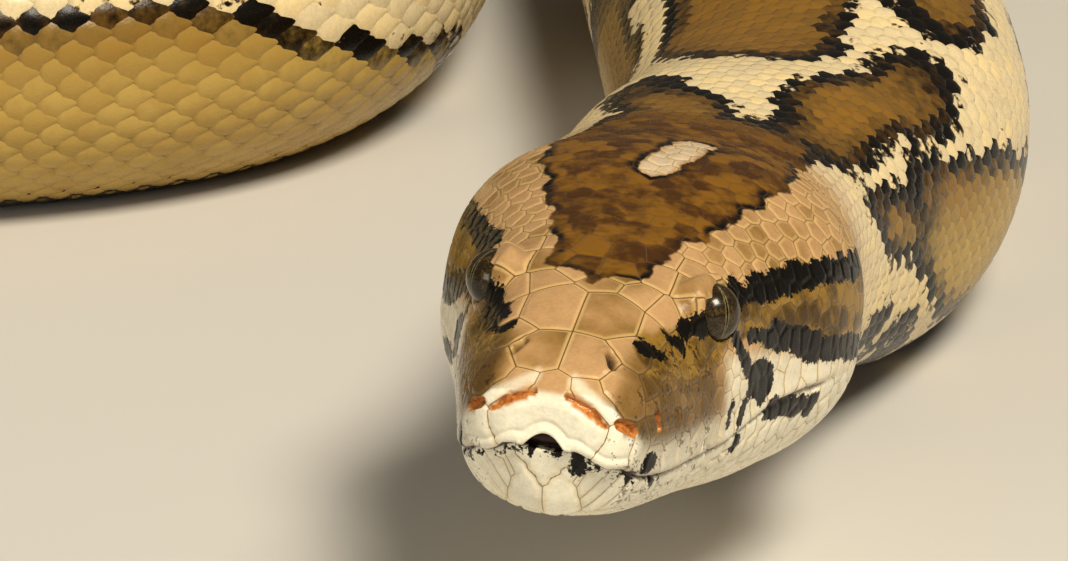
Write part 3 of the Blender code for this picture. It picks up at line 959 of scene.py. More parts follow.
@dataclass
class HeadRelief:
    """The head's folds, pits, nostrils, mouth line and domed shields, as depths in millimetres.

    A pit is a few points along its middle line, its radius and its depth. A swelling is its
    middle, its width and its height.
    """

    form: SnakeForm
    shields: HeadShields
    notch: tuple[float, float] = (3.4, 2.7)
    slit: tuple[tuple[float, float], ...] = ((2.4, 21.2), (6, 19.8), (9.2, 17.1))
    slit_sizes: tuple[float, float] = (0.92, 0.95)
    pits: tuple[tuple[Place, Place, float, float], ...] = (
        ((11, 4.7, 17.6), (12.6, 7, 16.2), 1.15, 1.1),
        ((15.2, 13.6, 17.4), (15.4, 14.2, 15.4), 0.95, 0.9),
        ((17, 21, 16.6), (17.1, 21.4, 15.2), 0.5, 0.6))
    nostril: tuple[Place, Place] = ((6.7, 12.6, 25.9), (7.6, 10.6, 24.8))
    swellings: tuple[tuple[Place, float, float], ...] = (
        ((9, 11, 24), 4.5, 0.45), ((11.5, 5, 14), 3.5, 0.45), ((0, 7, 3), 6, 1.3),
        ((10.5, 7, 6.5), 5, -0.8), ((16.5, 27, 24.5), 6, -0.95), ((13.2, 37, 32), 5, 0.65),
        ((26, 58, 22), 12, -0.7), ((30, 80, 8), 13, 0.4))

    def read(self, p: Array) -> tuple[Array, dict[str, Array]]:
        """Measure the relief.

        Args:
            p: points in the head's frame, in millimetres.

        Returns:
            The rise along the surface's normal in millimetres, and the attributes "pit" (0 to 1,
            orange lining), "dark" (0 to 1, painted shade in the mouth line, the notch and the nostrils) and
            the shields' own.
        """
        near = folded(p)
        above = p[:, 2] - self.form.head.lip_line(near[:, 0], p[:, 1])
        cells = self.shields.read(p)
        dome = smooth(cells["edge"] / (0.55 + 0.1 * cells["reach"]))
        near_lips = smooth((6 - above) / 3) * smooth((60 - p[:, 1]) / 20)
        rise = (dome - 1) * (0.17 + 0.01 * cells["reach"]) * (1 + 0.9 * near_lips)
        lips, dark_lips = self._lips(p, above)
        lining, pit_depth = self._pits(near)
        shade, nostril_depth = self._nostril(near)
        rise += lips - pit_depth - nostril_depth + self._forms(near) + self._eye_folds(near)
        # painted shade of the mouth line, the notch and the nostrils
        return rise, cells | {"pit": lining, "dark": np.maximum(dark_lips, shade)}

    def read_where(self, p: Array, chosen: Array) -> tuple[Array, dict[str, Array]]:
        """Measure the relief at the chosen points only, and leave it level elsewhere.

        Args:
            p: points in the head's frame, in millimetres.
            chosen: which of them to measure.

        Returns:
            What read returns, with zeros at the other points.
        """
        def spread(numbers: Array) -> Array:
            """Put the chosen points' numbers among zeros."""
            full = np.zeros(len(p))
            full[chosen] = numbers
            return full

        rise, cells = self.read(p[chosen])
        return spread(rise), {name: spread(numbers) for name, numbers in cells.items()}

    def _lips(self, p: Array, above: Array) -> tuple[Array, Array]:
        """Return the rise of the lips, the mouth line and the notch, and the painted shade in the mouth
        line and the notch's opening.

        Args:
            p: points in the head's frame, in millimetres.
            above: their heights over the mouth line.

        Returns:
            The rise and the painted shade.
        """
        y = p[:, 1]
        ahead = smooth((self.form.head.jaw_length / MM - y) / 10)
        line = bell(above, 0.42) * ahead
        jaw = smooth(-above / 0.5) * ahead
        rise = 0.22 * bell(above - 1.3, 0.9) * ahead - 0.75 * line
        rise -= jaw * (0.35 + 0.75 * smooth((10 - y) / 7))
        half, tall = self.notch
        arch = 1 - (p[:, 0] / half) ** 2
        roof = np.maximum(arch, 0)
        opening = np.minimum(tall * roof - above, above + 0.5) / 0.45
        opening = smooth(np.minimum(opening, arch * 4)) * (y < 6)
        rim = bell(above - tall * roof - 0.35, 0.5) * (arch > -0.5) * (y < 5)
        fold = bell(above - 2.3 - 2 * roof, 0.42) * smooth((8 - y) / 3)
        rise += (0.26 * rim - 0.2 * fold) * (1 - opening) - 2.3 * opening
        # painted shade along the mouth line and in the notch's opening
        return rise, np.maximum(smooth((line - 0.45) / 0.4), opening)

    def _pits(self, near: Array) -> tuple[Array, Array]:
        """Return the heat pits' orange lining and their depth.

        Args:
            near: points folded onto the head's left half.

        Returns:
            The lining from 0 to 1, and the depth.
        """
        front = near[:, ::2]
        slit = np.minimum(*(distance_to_line(front, *ends) for ends in zip(self.slit, self.slit[1:])))
        slit += 0.62 * np.minimum(np.abs((near[:, 0] - 5.6) / 4) ** 2.5, 3)
        pits = [(np.where(near[:, 1] < 8, slit, -NOWHERE), *self.slit_sizes)]
        pits += [(distance_to_line(near, top, bottom), *sizes) for top, bottom, *sizes in self.pits]
        lining, depth = np.zeros(len(near)), np.zeros(len(near))
        for away, radius, deep in pits:
            hollow = smooth((radius - away) / (0.45 * radius))
            lining = np.maximum(lining, smooth((radius - away) / 0.22))
            depth = np.maximum(depth, deep * hollow)
            depth -= 0.16 * bell(away - radius * 1.45, 0.45 * radius)
        return lining, depth

    def _nostril(self, near: Array) -> tuple[Array, Array]:
        """Return the nostrils' painted shade and depth.

        Args:
            near: points folded onto the head's left half.

        Returns:
            The painted shade from 0 to 1, and the depth.
        """
        away = distance_to_line(near, *self.nostril)
        depth = 1.5 * smooth((0.95 - away) / 0.6) - 0.22 * bell(away - 1.5, 0.6)
        # painted shade inside the nostril
        return smooth((0.75 - away) / 0.35), depth

    def _forms(self, near: Array) -> Array:
        """Return the broad swellings and hollows of the face and jaw, and the furrows of its middle.

        Args:
            near: points folded onto the head's left half.

        Returns:
            The rise.
        """
        x, y, z = near.T
        rise = np.zeros(len(near))
        for place, width, height in self.swellings:
            rise += height * bell(np.linalg.norm(near - place, axis=1), width)
        rise -= 0.35 * bell(x, 1.1) * smooth((y - 42) / 12) * (z > 25) * smooth((100 - y) / 15)
        rise -= 0.55 * bell(x, 0.7) * smooth((y - 9) / 5) * (z < 8) * smooth((60 - y) / 20)
        return rise

    def _eye_folds(self, near: Array) -> Array:
        """Return the sunken socket and the ring fold round each eye.

        Args:
            near: points folded onto the head's left half.

        Returns:
            The rise.
        """
        eye = EyeSizes()
        axis = np.array(Vector(eye.axis).normalized())
        offset = near - np.array(eye.place) / MM
        deep = offset @ axis
        aside = np.linalg.norm(offset - deep[:, None] * axis, axis=1)
        close = smooth((10 - np.linalg.norm(offset, axis=1)) / 2)
        under = np.sqrt(np.maximum(22 - aside**2, 0)) - 0.75
        rim = 2.1 + 0.35 * bell(aside - 4.75, 0.55)
        target = under + (rim - under) * smooth((aside - 3.85) / 0.55)
        pull = smooth((8.4 - aside) / 3.6) * smooth((deep + 3) / 1.5) * close
        return np.clip(1.15 * (target - deep), -2.4, 2.6) * pull


# --- making meshes ---

def write_values(mesh: Mesh, values: dict[str, Array]) -> None:
    """Write a number for each vertex under each name.

    Args:
        mesh: the mesh to write to.
        values: arrays as long as the mesh has vertices.
    """
    for name, numbers in values.items():
        layer = mesh.attributes.new(name, "FLOAT", "POINT")
        layer.data.foreach_set("value", np.ascontiguousarray(numbers, dtype=np.float32))


def unsutured(tone: Array, dark: Array) -> dict[str, Array]:
    """Return the values of a covering that has no shields and no orange lining.

    Args:
        tone: a random value for each vertex.
        dark: its painted shade, from 0 to 1.

    Returns:
        Those two and the rest of the head's values, by name.
    """
    sutures = {f"group_{g}": np.full(len(tone), -NOWHERE) for g in range(GROUPS)}
    return {"tone": tone, "dark": dark, "pit": np.zeros(len(tone))} | sutures


def read_places(mesh: Mesh) -> Array:
    """Return the mesh's vertices as rows of x, y, z.

    Args:
        mesh: the mesh to read.

    Returns:
        The rows.
    """
    flat = np.empty(len(mesh.vertices) * 3, dtype=np.float32)
    mesh.vertices.foreach_get("co", flat)
    return flat.reshape(-1, 3).astype(float)


def add_piece(name: str, mesh: Mesh, material: Material,
              nodes: Sequence[str] = ()) -> Piece:
    """Args:
        name: the piece's name.
        mesh: its mesh, in place.
        material: its finish.
        nodes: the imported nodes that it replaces.

    Returns:
        The new object.
    """
    mesh.name = name
    mesh.materials.append(material)
    mesh.shade_smooth()
    piece = bpy.data.objects.new(name, mesh)
    bpy.context.scene.collection.objects.link(piece)
    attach(piece, ROOT)
    if nodes:
        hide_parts(*nodes)
    LOG.info("%s: %d faces", name, len(mesh.polygons))
    return piece


def flat_grid(rows: int, columns: int) -> tuple[Array, Array]:
    """Return the points, from -1 to 1, and the faces of a flat grid.

    Args:
        rows: divisions along.
        columns: divisions across.

    Returns:
        The points as rows of x, y, z, and each face's corners.
    """
    form = bmesh.new()
    bmesh.ops.create_grid(form, x_segments=rows, y_segments=columns, size=1)
    form.verts.ensure_lookup_table()
    points = np.array([vertex.co[:] for vertex in form.verts])
    faces = np.array([[vertex.index for vertex in face.verts] for face in form.faces])
    form.free()
    return points, faces


@dataclass
class Wrap:
    """A grid wrapped round the snake, with its long edges welded.

    Its first and last rows lie at the start and the end, as distances from the back of the head.
    """

    rows: int
    columns: int
    start: float
    end: float
    close_front: bool = True
    close_back: bool = False

    def build(self, shape: Callable[[Array, Array], Shaped]) -> Mesh:
        """Build the mesh.

        Args:
            shape: gives points and values for distances along and angles round.

        Returns:
            The mesh, carrying the values.
        """
        form = bmesh.new()
        form.loops.layers.uv.new(BAKE_MAP)
        bmesh.ops.create_grid(form, x_segments=self.rows, y_segments=self.columns, size=0.5,
                              calc_uvs=True)
        mesh = bpy.data.meshes.new("grid")
        form.to_mesh(mesh)
        form.free()
        along, around = np.clip(read_places(mesh)[:, :2] + 0.5, 0, 1).T
        places, values = shape(self.start + (self.end - self.start) * along,
                               math.tau * around - math.pi / 2)
        write_values(mesh, values)
        for close, share in ((self.close_front, 0), (self.close_back, 1)):
            if close:
                at_end = np.abs(along - share) < 0.2 / self.rows
                places[at_end] = places[at_end].mean(axis=0)
        gap = 0.2 / self.columns
        edges = (np.flatnonzero(edge) for edge in (around < gap, around > 1 - gap))
        first, last = (edge[np.argsort(along[edge], kind="stable")] for edge in edges)
        places[last] = places[first]
        mesh.vertices.foreach_set("co", np.ascontiguousarray(places, dtype=np.float32).ravel())
        mesh.update()
        form = bmesh.new()
        form.from_mesh(mesh)
        bmesh.ops.remove_doubles(form, verts=form.verts, dist=1e-7)
        bmesh.ops.recalc_face_normals(form, faces=form.faces)
        form.to_mesh(mesh)
        form.free()
        return mesh


@dataclass
class GirthTable:
    """Distances round the surface from the back's middle line, tabulated for the whole snake."""

    form: SnakeForm
    marks: int = 420
    turns: int = 61

    def __post_init__(self) -> None:
        """Fill the table."""
        form = self.form
        self.along = np.linspace(form.snout_end, form.length, self.marks)
        turn = math.pi / 2 - np.linspace(0, math.pi, self.turns)
        points = form.place(np.repeat(self.along, self.turns), np.tile(turn, self.marks))
        steps = np.linalg.norm(np.diff(points.reshape(self.marks, -1, 3), axis=1), axis=2)
        self.run = np.concatenate([np.zeros((self.marks, 1)), np.cumsum(steps, axis=1)], axis=1)

    def round_way(self, along: Array, angle: Array) -> tuple[Array, Array]:
        """Return the signed distance round from the back's middle line, and the half girth.

        Args:
            along: distances behind the head.
            angle: places round the section.

        Returns:
            The two distances for each place.
        """
        offset = np.mod(math.pi / 2 - angle + math.pi, math.tau) - math.pi
        row = np.interp(along, self.along, np.arange(self.marks))
        column = np.abs(offset) / math.pi * (self.turns - 1)
        i = np.clip(row.astype(int), 0, self.marks - 2)
        j = np.clip(column.astype(int), 0, self.turns - 2)
        u, v = row - i, column - j
        run = self.run
        value = ((run[i, j] * (1 - v) + run[i, j + 1] * v) * (1 - u)
                 + (run[i + 1, j] * (1 - v) + run[i + 1, j + 1] * v) * u)
        girth = run[i, -1] * (1 - u) + run[i + 1, -1] * u
        return np.sign(offset) * value, np.maximum(girth, 0.1 * MM)


# --- the coverings ---

@dataclass
class Snake:
    """The outer form with the markings and the relief that every covering reads."""

    form: SnakeForm = field(default_factory=SnakeForm)

    def __post_init__(self) -> None:
        """Prepare the girths, the markings and the head's relief."""
        self.girths = GirthTable(self.form)
        self.markings = Markings(self.form)
        self.relief = HeadRelief(self.form, HeadShields(self.form))

    def surface(self, along: Array, angle: Array) -> tuple[Array, Array]:
        """Return the form's points and its outward normals."""
        return self.form.place(along, angle), self.form.normal(along, angle)

    def marks(self, along: Array, angle: Array, places: Array) -> dict[str, Array]:
        """Return the markings at points of a covering.

        Args:
            along: their distances from the back of the head.
            angle: their angles round the section.
            places: the points themselves.

        Returns:
            The markings' distances by name.
        """
        round_way, girth = self.girths.round_way(along, angle)
        return self.markings.read(along, round_way, girth, self.form.local(places))

    def unwrap(self, along: Array, angle: Array) -> Array:
        """Return the places on the unwrapped skin, as rows of u, v.

        Args:
            along: distances behind the head.
            angle: places round the section.

        Returns:
            The rows.
        """
        round_way, girth = self.girths.round_way(along, angle)
        total = self.form.length - self.form.snout_end
        return np.stack([0.02 + 0.96 * (along - self.form.snout_end) / total,
                         0.5 + 0.48 * round_way / girth], axis=-1)


@dataclass
class Skin:
    """The one skin under the coat, from snout to tail."""

    snake: Snake
    rows: int = 980
    columns: int = 88
    depth: float = 1.55 * MM
    head_depth: float = 2.4 * MM
    tail_depth: float = 0.25 * MM
    tail_taper: float = 0.25
    head_fade: float = 6 * MM
    belly_share: float = 0.55
    tone: float = 0.4

    def build(self, material: Material, nodes: Sequence[str]) -> Piece:
        """Build the skin and let it stand for the flesh nodes.

        Args:
            material: its finish.
            nodes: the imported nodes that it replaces.

        Returns:
            The piece.
        """
        form = self.snake.form
        wrap = Wrap(self.rows, self.columns, form.snout_end, form.length, close_back=True)
        return add_piece("python_skin", wrap.build(self._shape), material, nodes)

    def _shape(self, along: Array, angle: Array) -> Shaped:
        """Return the skin's points and values.

        Args:
            along: distances behind the head.
            angle: places round the section.

        Returns:
            The points, and the values by name.
        """
        places, out = self.snake.surface(along, angle)
        on_head = smooth(-along / self.head_fade)
        rise, cells = self.snake.relief.read_where(self.snake.form.local(places), along < 0)
        taper = smooth((self.snake.form.length - along) / self.tail_taper)
        body_depth = self.tail_depth + (self.depth - self.tail_depth) * taper
        depth = self.head_depth * on_head + body_depth * (1 - on_head)
        belly = smooth((-out[:, 2] - 0.6) / 0.35) * (1 - on_head)
        depth = depth * (1 - self.belly_share * belly)
        values = self.snake.marks(along, angle, places)
        # painted shade: on the body the skin takes the deep colour everywhere, so the gaps between the
        # scales read as shade; on the head it takes the relief's painted shade
        values |= unsutured(np.full(len(along), self.tone),
                            np.maximum(cells["dark"] * on_head, 1 - on_head))
        values |= {"pit": cells["pit"] * on_head, "reach": np.zeros(len(along))}
        return places + out * (rise * MM * on_head - depth)[:, None], values


@dataclass
class ShieldSheet:
    """One sheet of the head's shields, over a stretch of the head."""

    snake: Snake
    name: str
    start: float
    end: float
    rows: int
    columns: int = 400
    depth: float = 0.45 * MM
    tuck: float = 0.5 * MM
    tuck_length: float = 6 * MM
    large: float = 3

    def build(self, material: Material) -> Piece:
        """Build the sheet.

        Args:
            material: its finish.

        Returns:
            The piece.
        """
        at_snout = self.start <= self.snake.form.snout_end
        wrap = Wrap(self.rows, self.columns, self.start, self.end, close_front=at_snout)
        return add_piece(self.name, wrap.build(self._shape), material)

    def _shape(self, along: Array, angle: Array) -> Shaped:
        """Return the sheet's points and values; its rear edge tucks in under the first scales.

        Args:
            along: distances behind the head.
            angle: places round the section.

        Returns:
            The points, and the values by name.
        """
        places, out = self.snake.surface(along, angle)
        rise, cells = self.snake.relief.read(self.snake.form.local(places))
        tuck = smooth((along - (self.end - self.tuck_length)) / self.tuck_length)
        tuck = tuck * smooth(along / (2 * MM))
        values = self.snake.marks(along, angle, places) | cells
        values.pop("edge")
        values["reach"] = smooth(values["reach"] / self.large)
        return places + out * (rise * MM - self.depth - self.tuck * tuck)[:, None], values


class ScaleCut(Enum):
    """How finely a body scale is cut: divisions along and across."""

    FINE = (6, 6)
    PLAIN = (3, 4)


@dataclass
class ScaleShape:
    """One body scale: a low rounded lozenge whose free end points to the tail."""

    cut: ScaleCut
    edge_drop: float = 0.3
    crown: float = 0.26

    def template(self) -> tuple[Array, Array, Array]:
        """Return the scale's points (along, across, rise), faces and corner map."""
        points, faces = flat_grid(*self.cut.value)
        x, y = points[:, 0], points[:, 1]
        width = (1 - np.abs(x) ** 2.4) ** 0.72 * (1 - 0.06 * x)
        rim = np.maximum(np.abs(x), np.abs(y))
        rise = self.crown * (1 - rim**2) - self.edge_drop * (rim > 0.99)
        shaped = np.stack([x, y * np.maximum(width, 0.05), rise], axis=1)
        return shaped, faces, points[:, :2]


@dataclass
class LaidScales:
    """Many copies of one small shape, laid on the form as one mesh."""

    snake: Snake
    faces: Array
    along: Array
    angle: Array
    rise: Array

    def build(self, name: str, material: Material, values: dict[str, Array] | None,
              dressing: tuple[Array, Array], patches: Array) -> Piece:
        """Build the joined mesh.

        Args:
            name: the piece's name.
            material: its finish.
            values: each point's markings, or None to read them where the points lie.
            dressing: the tone of each copy, and the painted shade of each of its points.
            patches: each point's place on the bake map.

        Returns:
            The piece.
        """
        count, size = self.along.shape
        along, angle = self.along.ravel(), self.angle.ravel()
        places, out = self.snake.surface(along, angle)
        places = places + out * self.rise.ravel()[:, None]
        places[:, 2] = np.maximum(places[:, 2], FLOOR_GAP)
        every = self.faces[None] + (np.arange(count) * size)[:, None, None]
        every = every.reshape(-1, self.faces.shape[1])
        mesh = bpy.data.meshes.new(name)
        mesh.from_pydata(places.tolist(), [], every.tolist())
        if values is None:
            values = self.snake.marks(along, angle, places)
        tone, dark = dressing
        write_values(mesh, values | unsutured(np.repeat(tone, size), np.tile(dark, count)))
        flat = patches.reshape(-1, 2)[every.ravel()]
        mesh.uv_layers.new(name=BAKE_MAP).data.foreach_set("uv", flat.astype(np.float32).ravel())
        return add_piece(name, mesh, material)


@dataclass
class ScaleCoat:
    """The overlapping scales of the back and flanks, row by row from nape to tail.

    A scale is as wide as its row allows and longer by the slimness. Its root lies deeper in the
    skin than its tip.
    """

    snake: Snake
    first: float = -3 * MM
    root_depth: float = 1.25 * MM
    tip_depth: float = 0.75 * MM
    cover: float = 0.865
    slimness: float = 1.62
    overlap: float = 0.66
    nape: float = 0.2
    patch: float = 0.003
    limit: int = 190000
    seed: int = 29
    rows: tuple[tuple[float, int], ...] = ((0.8, 64), (0.87, 50), (0.93, 34), (0.97, 22), (9.9, 12))

    def _scatter(self) -> dict[str, Array]:
        """Place every scale: its distance along, angle, size and row spacing."""
        names = ("along", "angle", "round", "long", "wide", "turn")
        found: dict[str, list[Array]] = {name: [] for name in names}
        along, turn = self.first, 0
        form = self.snake.form
        while along < form.length - 2 * MM:
            angle, run = form.half_ring(along)
            reach = run[-1] * self.cover
            share = max(along, 0) / form.length
            rows = next(rows for until, rows in self.rows if share < until)
            spacing = 2 * reach / rows
            places = ((np.arange(rows + 1) - rows / 2) * spacing)[turn % 2::2]
            half = np.interp(np.abs(places), run, angle)
            grow = 1 + 0.35 * smooth((np.abs(places) / reach - 0.7) / 0.3)
            long = spacing * self.slimness
            row = (np.full(len(places), along), np.where(places >= 0, half, math.pi - half), places,
                   np.full(len(places), long), spacing * grow,
                   np.interp(np.abs(places), run, np.gradient(angle, run)))
            for name, numbers in zip(names, row):
                found[name].append(numbers)
            along += long * 0.5
            turn += 1
        return {name: np.concatenate(parts) for name, parts in found.items()}

    def build(self, material: Material) -> list[Piece]:
        """Build the coat as joined meshes.

        Args:
            material: their finish.

        Returns:
            The pieces.
        """
        scales = self._scatter()
        near = scales["along"] < self.nape
        pieces = []
        for label, chosen, cut in (("nape", near, ScaleCut.FINE), ("body", ~near, ScaleCut.PLAIN)):
            members = np.flatnonzero(chosen)
            faces_each = 2 * cut.value[0] * cut.value[1]
            parts = math.ceil(len(members) / (self.limit // faces_each))
            for number, part in enumerate(np.array_split(members, parts), 1):
                chunk = {name: values[part] for name, values in scales.items()}
                pieces.append(self._piece(f"scales_{label}_{number}", chunk, cut, material))
        return pieces

    def _piece(self, name: str, scales: dict[str, Array], cut: ScaleCut,
               material: Material) -> Piece:
        """Lay one joined mesh of scales on the form.

        Args:
            name: the piece's name.
            scales: what _scatter found for these scales.
            cut: how finely each is cut.
            material: its finish.

        Returns:
            The piece.
        """
        shape, faces, corners = ScaleShape(cut).template()
        count, size = len(scales["along"]), len(shape)
        rng = np.random.default_rng(self.seed + count)
        tone = rng.random(count)
        uneven = 1 + 0.05 * rng.standard_normal((count, 2))
        each = {key: numbers[:, None] for key, numbers in scales.items()}
        along = each["along"] + each["long"] * uneven[:, :1] * (self.overlap * shape[None, :, 0])
        across = each["wide"] * uneven[:, 1:] * 1.02 * shape[None, :, 1]
        angle = each["angle"] + across * np.where(each["round"] >= 0, 1, -1) * each["turn"]
        small = np.minimum(each["wide"] / (2.6 * MM), 1)
        toward_tip = (shape[None, :, 0] + 1) / 2
        depth = (self.root_depth + (self.tip_depth - self.root_depth) * toward_tip) * small
        laid = LaidScales(self.snake, faces, np.minimum(along, self.snake.form.length - 0.3 * MM), angle,
                          shape[None, :, 2] * MM * small - depth)
        centre = (scales["along"], scales["angle"])
        marks = self.snake.marks(*centre, self.snake.form.place(*centre))
        patches = self.snake.unwrap(*centre)[:, None] + corners[None] * self.patch / 2
        # painted shade: the root end of each scale, which lies under the scale before it, is darkened
        return laid.build(name, material, {key: np.repeat(numbers, size) for key, numbers in marks.items()},
                          (tone, 0.8 * smooth((-0.55 - shape[:, 0]) / 0.4)), patches)


@dataclass
class BellyScutes:
    """The broad scutes across the belly."""

    snake: Snake
    start: float = 2 * MM
    reach: float = 0.885
    pitch: float = 0.082
    end_share: float = 0.985
    patch: float = 0.003
    divisions: tuple[int, int] = (3, 18)
    seed: int = 3

    def build(self, material: Material) -> Piece:
        """Build the scutes as one joined mesh.

        Args:
            material: its finish.

        Returns:
            The piece.
        """
        form = self.snake.form
        points, faces = flat_grid(*self.divisions)
        x, y = points[:, 0], points[:, 1]
        rise = 0.22 * (1 - x**2) * MM - 0.5 * MM * (np.abs(x) > 0.99) - 0.6 * MM * (np.abs(y) > 0.99)
        starts, along = [], self.start
        while along < form.length * self.end_share:
            girth = form.half_girth(along)
            starts.append((along, self.pitch * girth, girth))
            along += self.pitch * girth
        start, long, girths = np.array(starts).T[:, :, None]
        along = np.minimum(start + long * (0.5 + 0.62 * x[None]), form.length - 0.4 * MM)
        ways = girths * (1 - (1 - self.reach) * np.abs(y)) * np.where(y >= 0, 1, -1)
        angle = np.array([form.ring_angles(place, way) for (place,), way in zip(start, ways)])
        small = np.minimum(long / (9 * MM), 1)
        depth = (1.05 * MM - 0.35 * MM * (x[None] + 1) / 2) * small
        laid = LaidScales(self.snake, faces, along, angle, rise[None] * small - depth)
        tone = np.random.default_rng(self.seed).random(len(start))
        patches = self.snake.unwrap(along.ravel(), angle.ravel())
        roots = self.snake.unwrap(np.repeat(start.ravel(), len(x)), angle.ravel())
        patches[:, 0] = roots[:, 0] + np.tile(x, len(start)) * self.patch / 2
        # painted shade: the front end of each scute, which lies under the scute before it, is darkened
        return laid.build("belly_scutes", material, None, (tone, 0.6 * smooth((-0.6 - x) / 0.4)), patches)


# --- finishes ---

class Graph:
    """A node material, written as short expressions."""

    def __init__(self, name: str) -> None:
        """Start an empty material."""
        self.material = bpy.data.materials.new(name)
        self.material.use_nodes = True
        self.tree = self.material.node_tree
        self.tree.nodes.clear()
        self.place = self.add("ShaderNodeTexCoord").outputs["Object"]

    def add(self, kind: str, **settings: str | float | bool) -> bpy.types.Node:
        """Add a node with the given settings.

        Args:
            kind: the node's type.
            settings: its properties by name.

        Returns:
            The node.
        """
        node = self.tree.nodes.new(kind)
        for key, value in settings.items():
            setattr(node, key, value)
        return node

    def feed(self, value: Wire | Colour, socket: Socket) -> None:
        """Link a socket's value to another socket, or set it.

        Args:
            value: a socket, number or colour.
            socket: what receives it.
        """
        if isinstance(value, Socket):
            self.tree.links.new(value, socket)
        elif isinstance(value, tuple) and len(socket.default_value) == 4:
            socket.default_value = (*value, 1)
        else:
            socket.default_value = value

    def value(self, name: str) -> Socket:
        """Read a number that the mesh carries."""
        return self.add("ShaderNodeAttribute", attribute_name=name).outputs["Fac"]

    def math(self, operation: str, first: Wire, second: Wire = 0) -> Socket:
        """Combine two numbers.

        Args:
            operation: the Math node's operation.
            first: one number.
            second: the other.

        Returns:
            The result.
        """
        node = self.add("ShaderNodeMath", operation=operation)
        self.feed(first, node.inputs[0])
        self.feed(second, node.inputs[1])
        return node.outputs[0]

    def total(self, *terms: tuple[Wire, float]) -> Socket:
        """Add numbers, each times its weight.

        Args:
            terms: pairs of number and weight.

        Returns:
            The sum.
        """
        result: Wire = 0
        for value, weight in terms:
            node = self.add("ShaderNodeMath", operation="MULTIPLY_ADD")
            self.feed(value, node.inputs[0])
            self.feed(weight, node.inputs[1])
            self.feed(result, node.inputs[2])
            result = node.outputs[0]
        return result

    def step(self, value: Wire, low: float, high: float) -> Socket:
        """Rise smoothly from 0 at low to 1 at high.

        Args:
            value: the number to read.
            low: where the rise starts.
            high: where it ends.

        Returns:
            The share.
        """
        node = self.add("ShaderNodeMapRange", interpolation_type="SMOOTHSTEP")
        self.feed(value, node.inputs["Value"])
        self.feed(low, node.inputs["From Min"])
        self.feed(high, node.inputs["From Max"])
        return node.outputs["Result"]

    def both(self, first: Wire, second: Wire) -> Socket:
        """Multiply two shares."""
        return self.math("MULTIPLY", first, second)

    def without(self, share: Wire) -> Socket:
        """Return one less a share."""
        return self.math("SUBTRACT", 1, share)

    def noise(self, scale: float, detail: float) -> Socket:
        """Return cloudy noise from 0 to 1, about 0.5, fixed to the piece.

        Args:
            scale: clouds to the metre.
            detail: how many finer layers it has.

        Returns:
            The noise.
        """
        node = self.add("ShaderNodeTexNoise")
        self.feed(self.place, node.inputs["Vector"])
        node.inputs["Scale"].default_value = scale
        node.inputs["Detail"].default_value = detail
        node.inputs["Roughness"].default_value = 0.55
        return node.outputs["Fac"]

    def mix(self, share: Wire, first: Wire | Colour, second: Wire | Colour,
            blend: str = "MIX") -> Socket:
        """Mix two colours.

        Args:
            share: the second colour's share.
            first: one colour.
            second: the other.
            blend: the kind of mix.

        Returns:
            The colour.
        """
        node = self.add("ShaderNodeMix", data_type="RGBA", blend_type=blend)
        self.feed(share, node.inputs[0])
        self.feed(first, node.inputs[6])
        self.feed(second, node.inputs[7])
        return node.outputs[2]

    def grey(self, value: Wire) -> Socket:
        """Return a grey of the given value.

        Args:
            value: its brightness.

        Returns:
            The colour.
        """
        node = self.add("ShaderNodeCombineColor")
        for socket in node.inputs:
            self.feed(value, socket)
        return node.outputs[0]

    def bump(self, height: Wire, distance: float, strength: float) -> Socket:
        """Return a normal bent by a height.

        Args:
            height: the height, from 0 to 1.
            distance: what 1 stands for, in metres.
            strength: how much of it is used.

        Returns:
            The normal.
        """
        node = self.add("ShaderNodeBump")
        self.feed(height, node.inputs["Height"])
        node.inputs["Distance"].default_value = distance
        node.inputs["Strength"].default_value = strength
        return node.outputs["Normal"]

    def surface(self, colour: Wire | Colour, roughness: Wire, normal: Wire | None = None,
                **uniform: float) -> Material:
        """Close the material with its shader.

        Args:
            colour: its base colour.
            roughness: its roughness.
            normal: its bent normal.
            uniform: the shader's other settings by name.

        Returns:
            The material.
        """
        shader = self.add("ShaderNodeBsdfPrincipled")
        self.feed(colour, shader.inputs["Base Color"])
        self.feed(roughness, shader.inputs["Roughness"])
        if normal is not None:
            self.feed(normal, shader.inputs["Normal"])
        for name, value in uniform.items():
            shader.inputs[name.replace("_", " ").title().replace("Ior", "IOR")].default_value = value
        output = self.add("ShaderNodeOutputMaterial")
        self.tree.links.new(shader.outputs["BSDF"], output.inputs["Surface"])
        return self.material


class SkinReading:
    """The noises and the carried values from which the skin's colours are made."""

    def __init__(self, graph: Graph) -> None:
        """Read each of them once."""
        self.graph = graph
        self.fine, self.grain, self.patch = (graph.noise(scale, 3) for scale in (1700, 450, 130))
        (self.tone, self.trunk, self.blotch, self.ink, self.olive, self.cream, self.speck, self.reach,
         self.pit, self.dark) = (graph.value(name) for name in (
             "tone", "trunk", "blotch", "ink", "olive", "cream", "speck", "reach", "pit", "dark"))
        self.jitter = graph.total((self.grain, 3.2), (self.tone, 1.2), (1, -2.2))
        sutures = [graph.math("ABSOLUTE", graph.value(f"group_{i}")) for i in range(GROUPS)]
        self.nearest = reduce(lambda first, second: graph.math("MINIMUM", first, second), sutures)


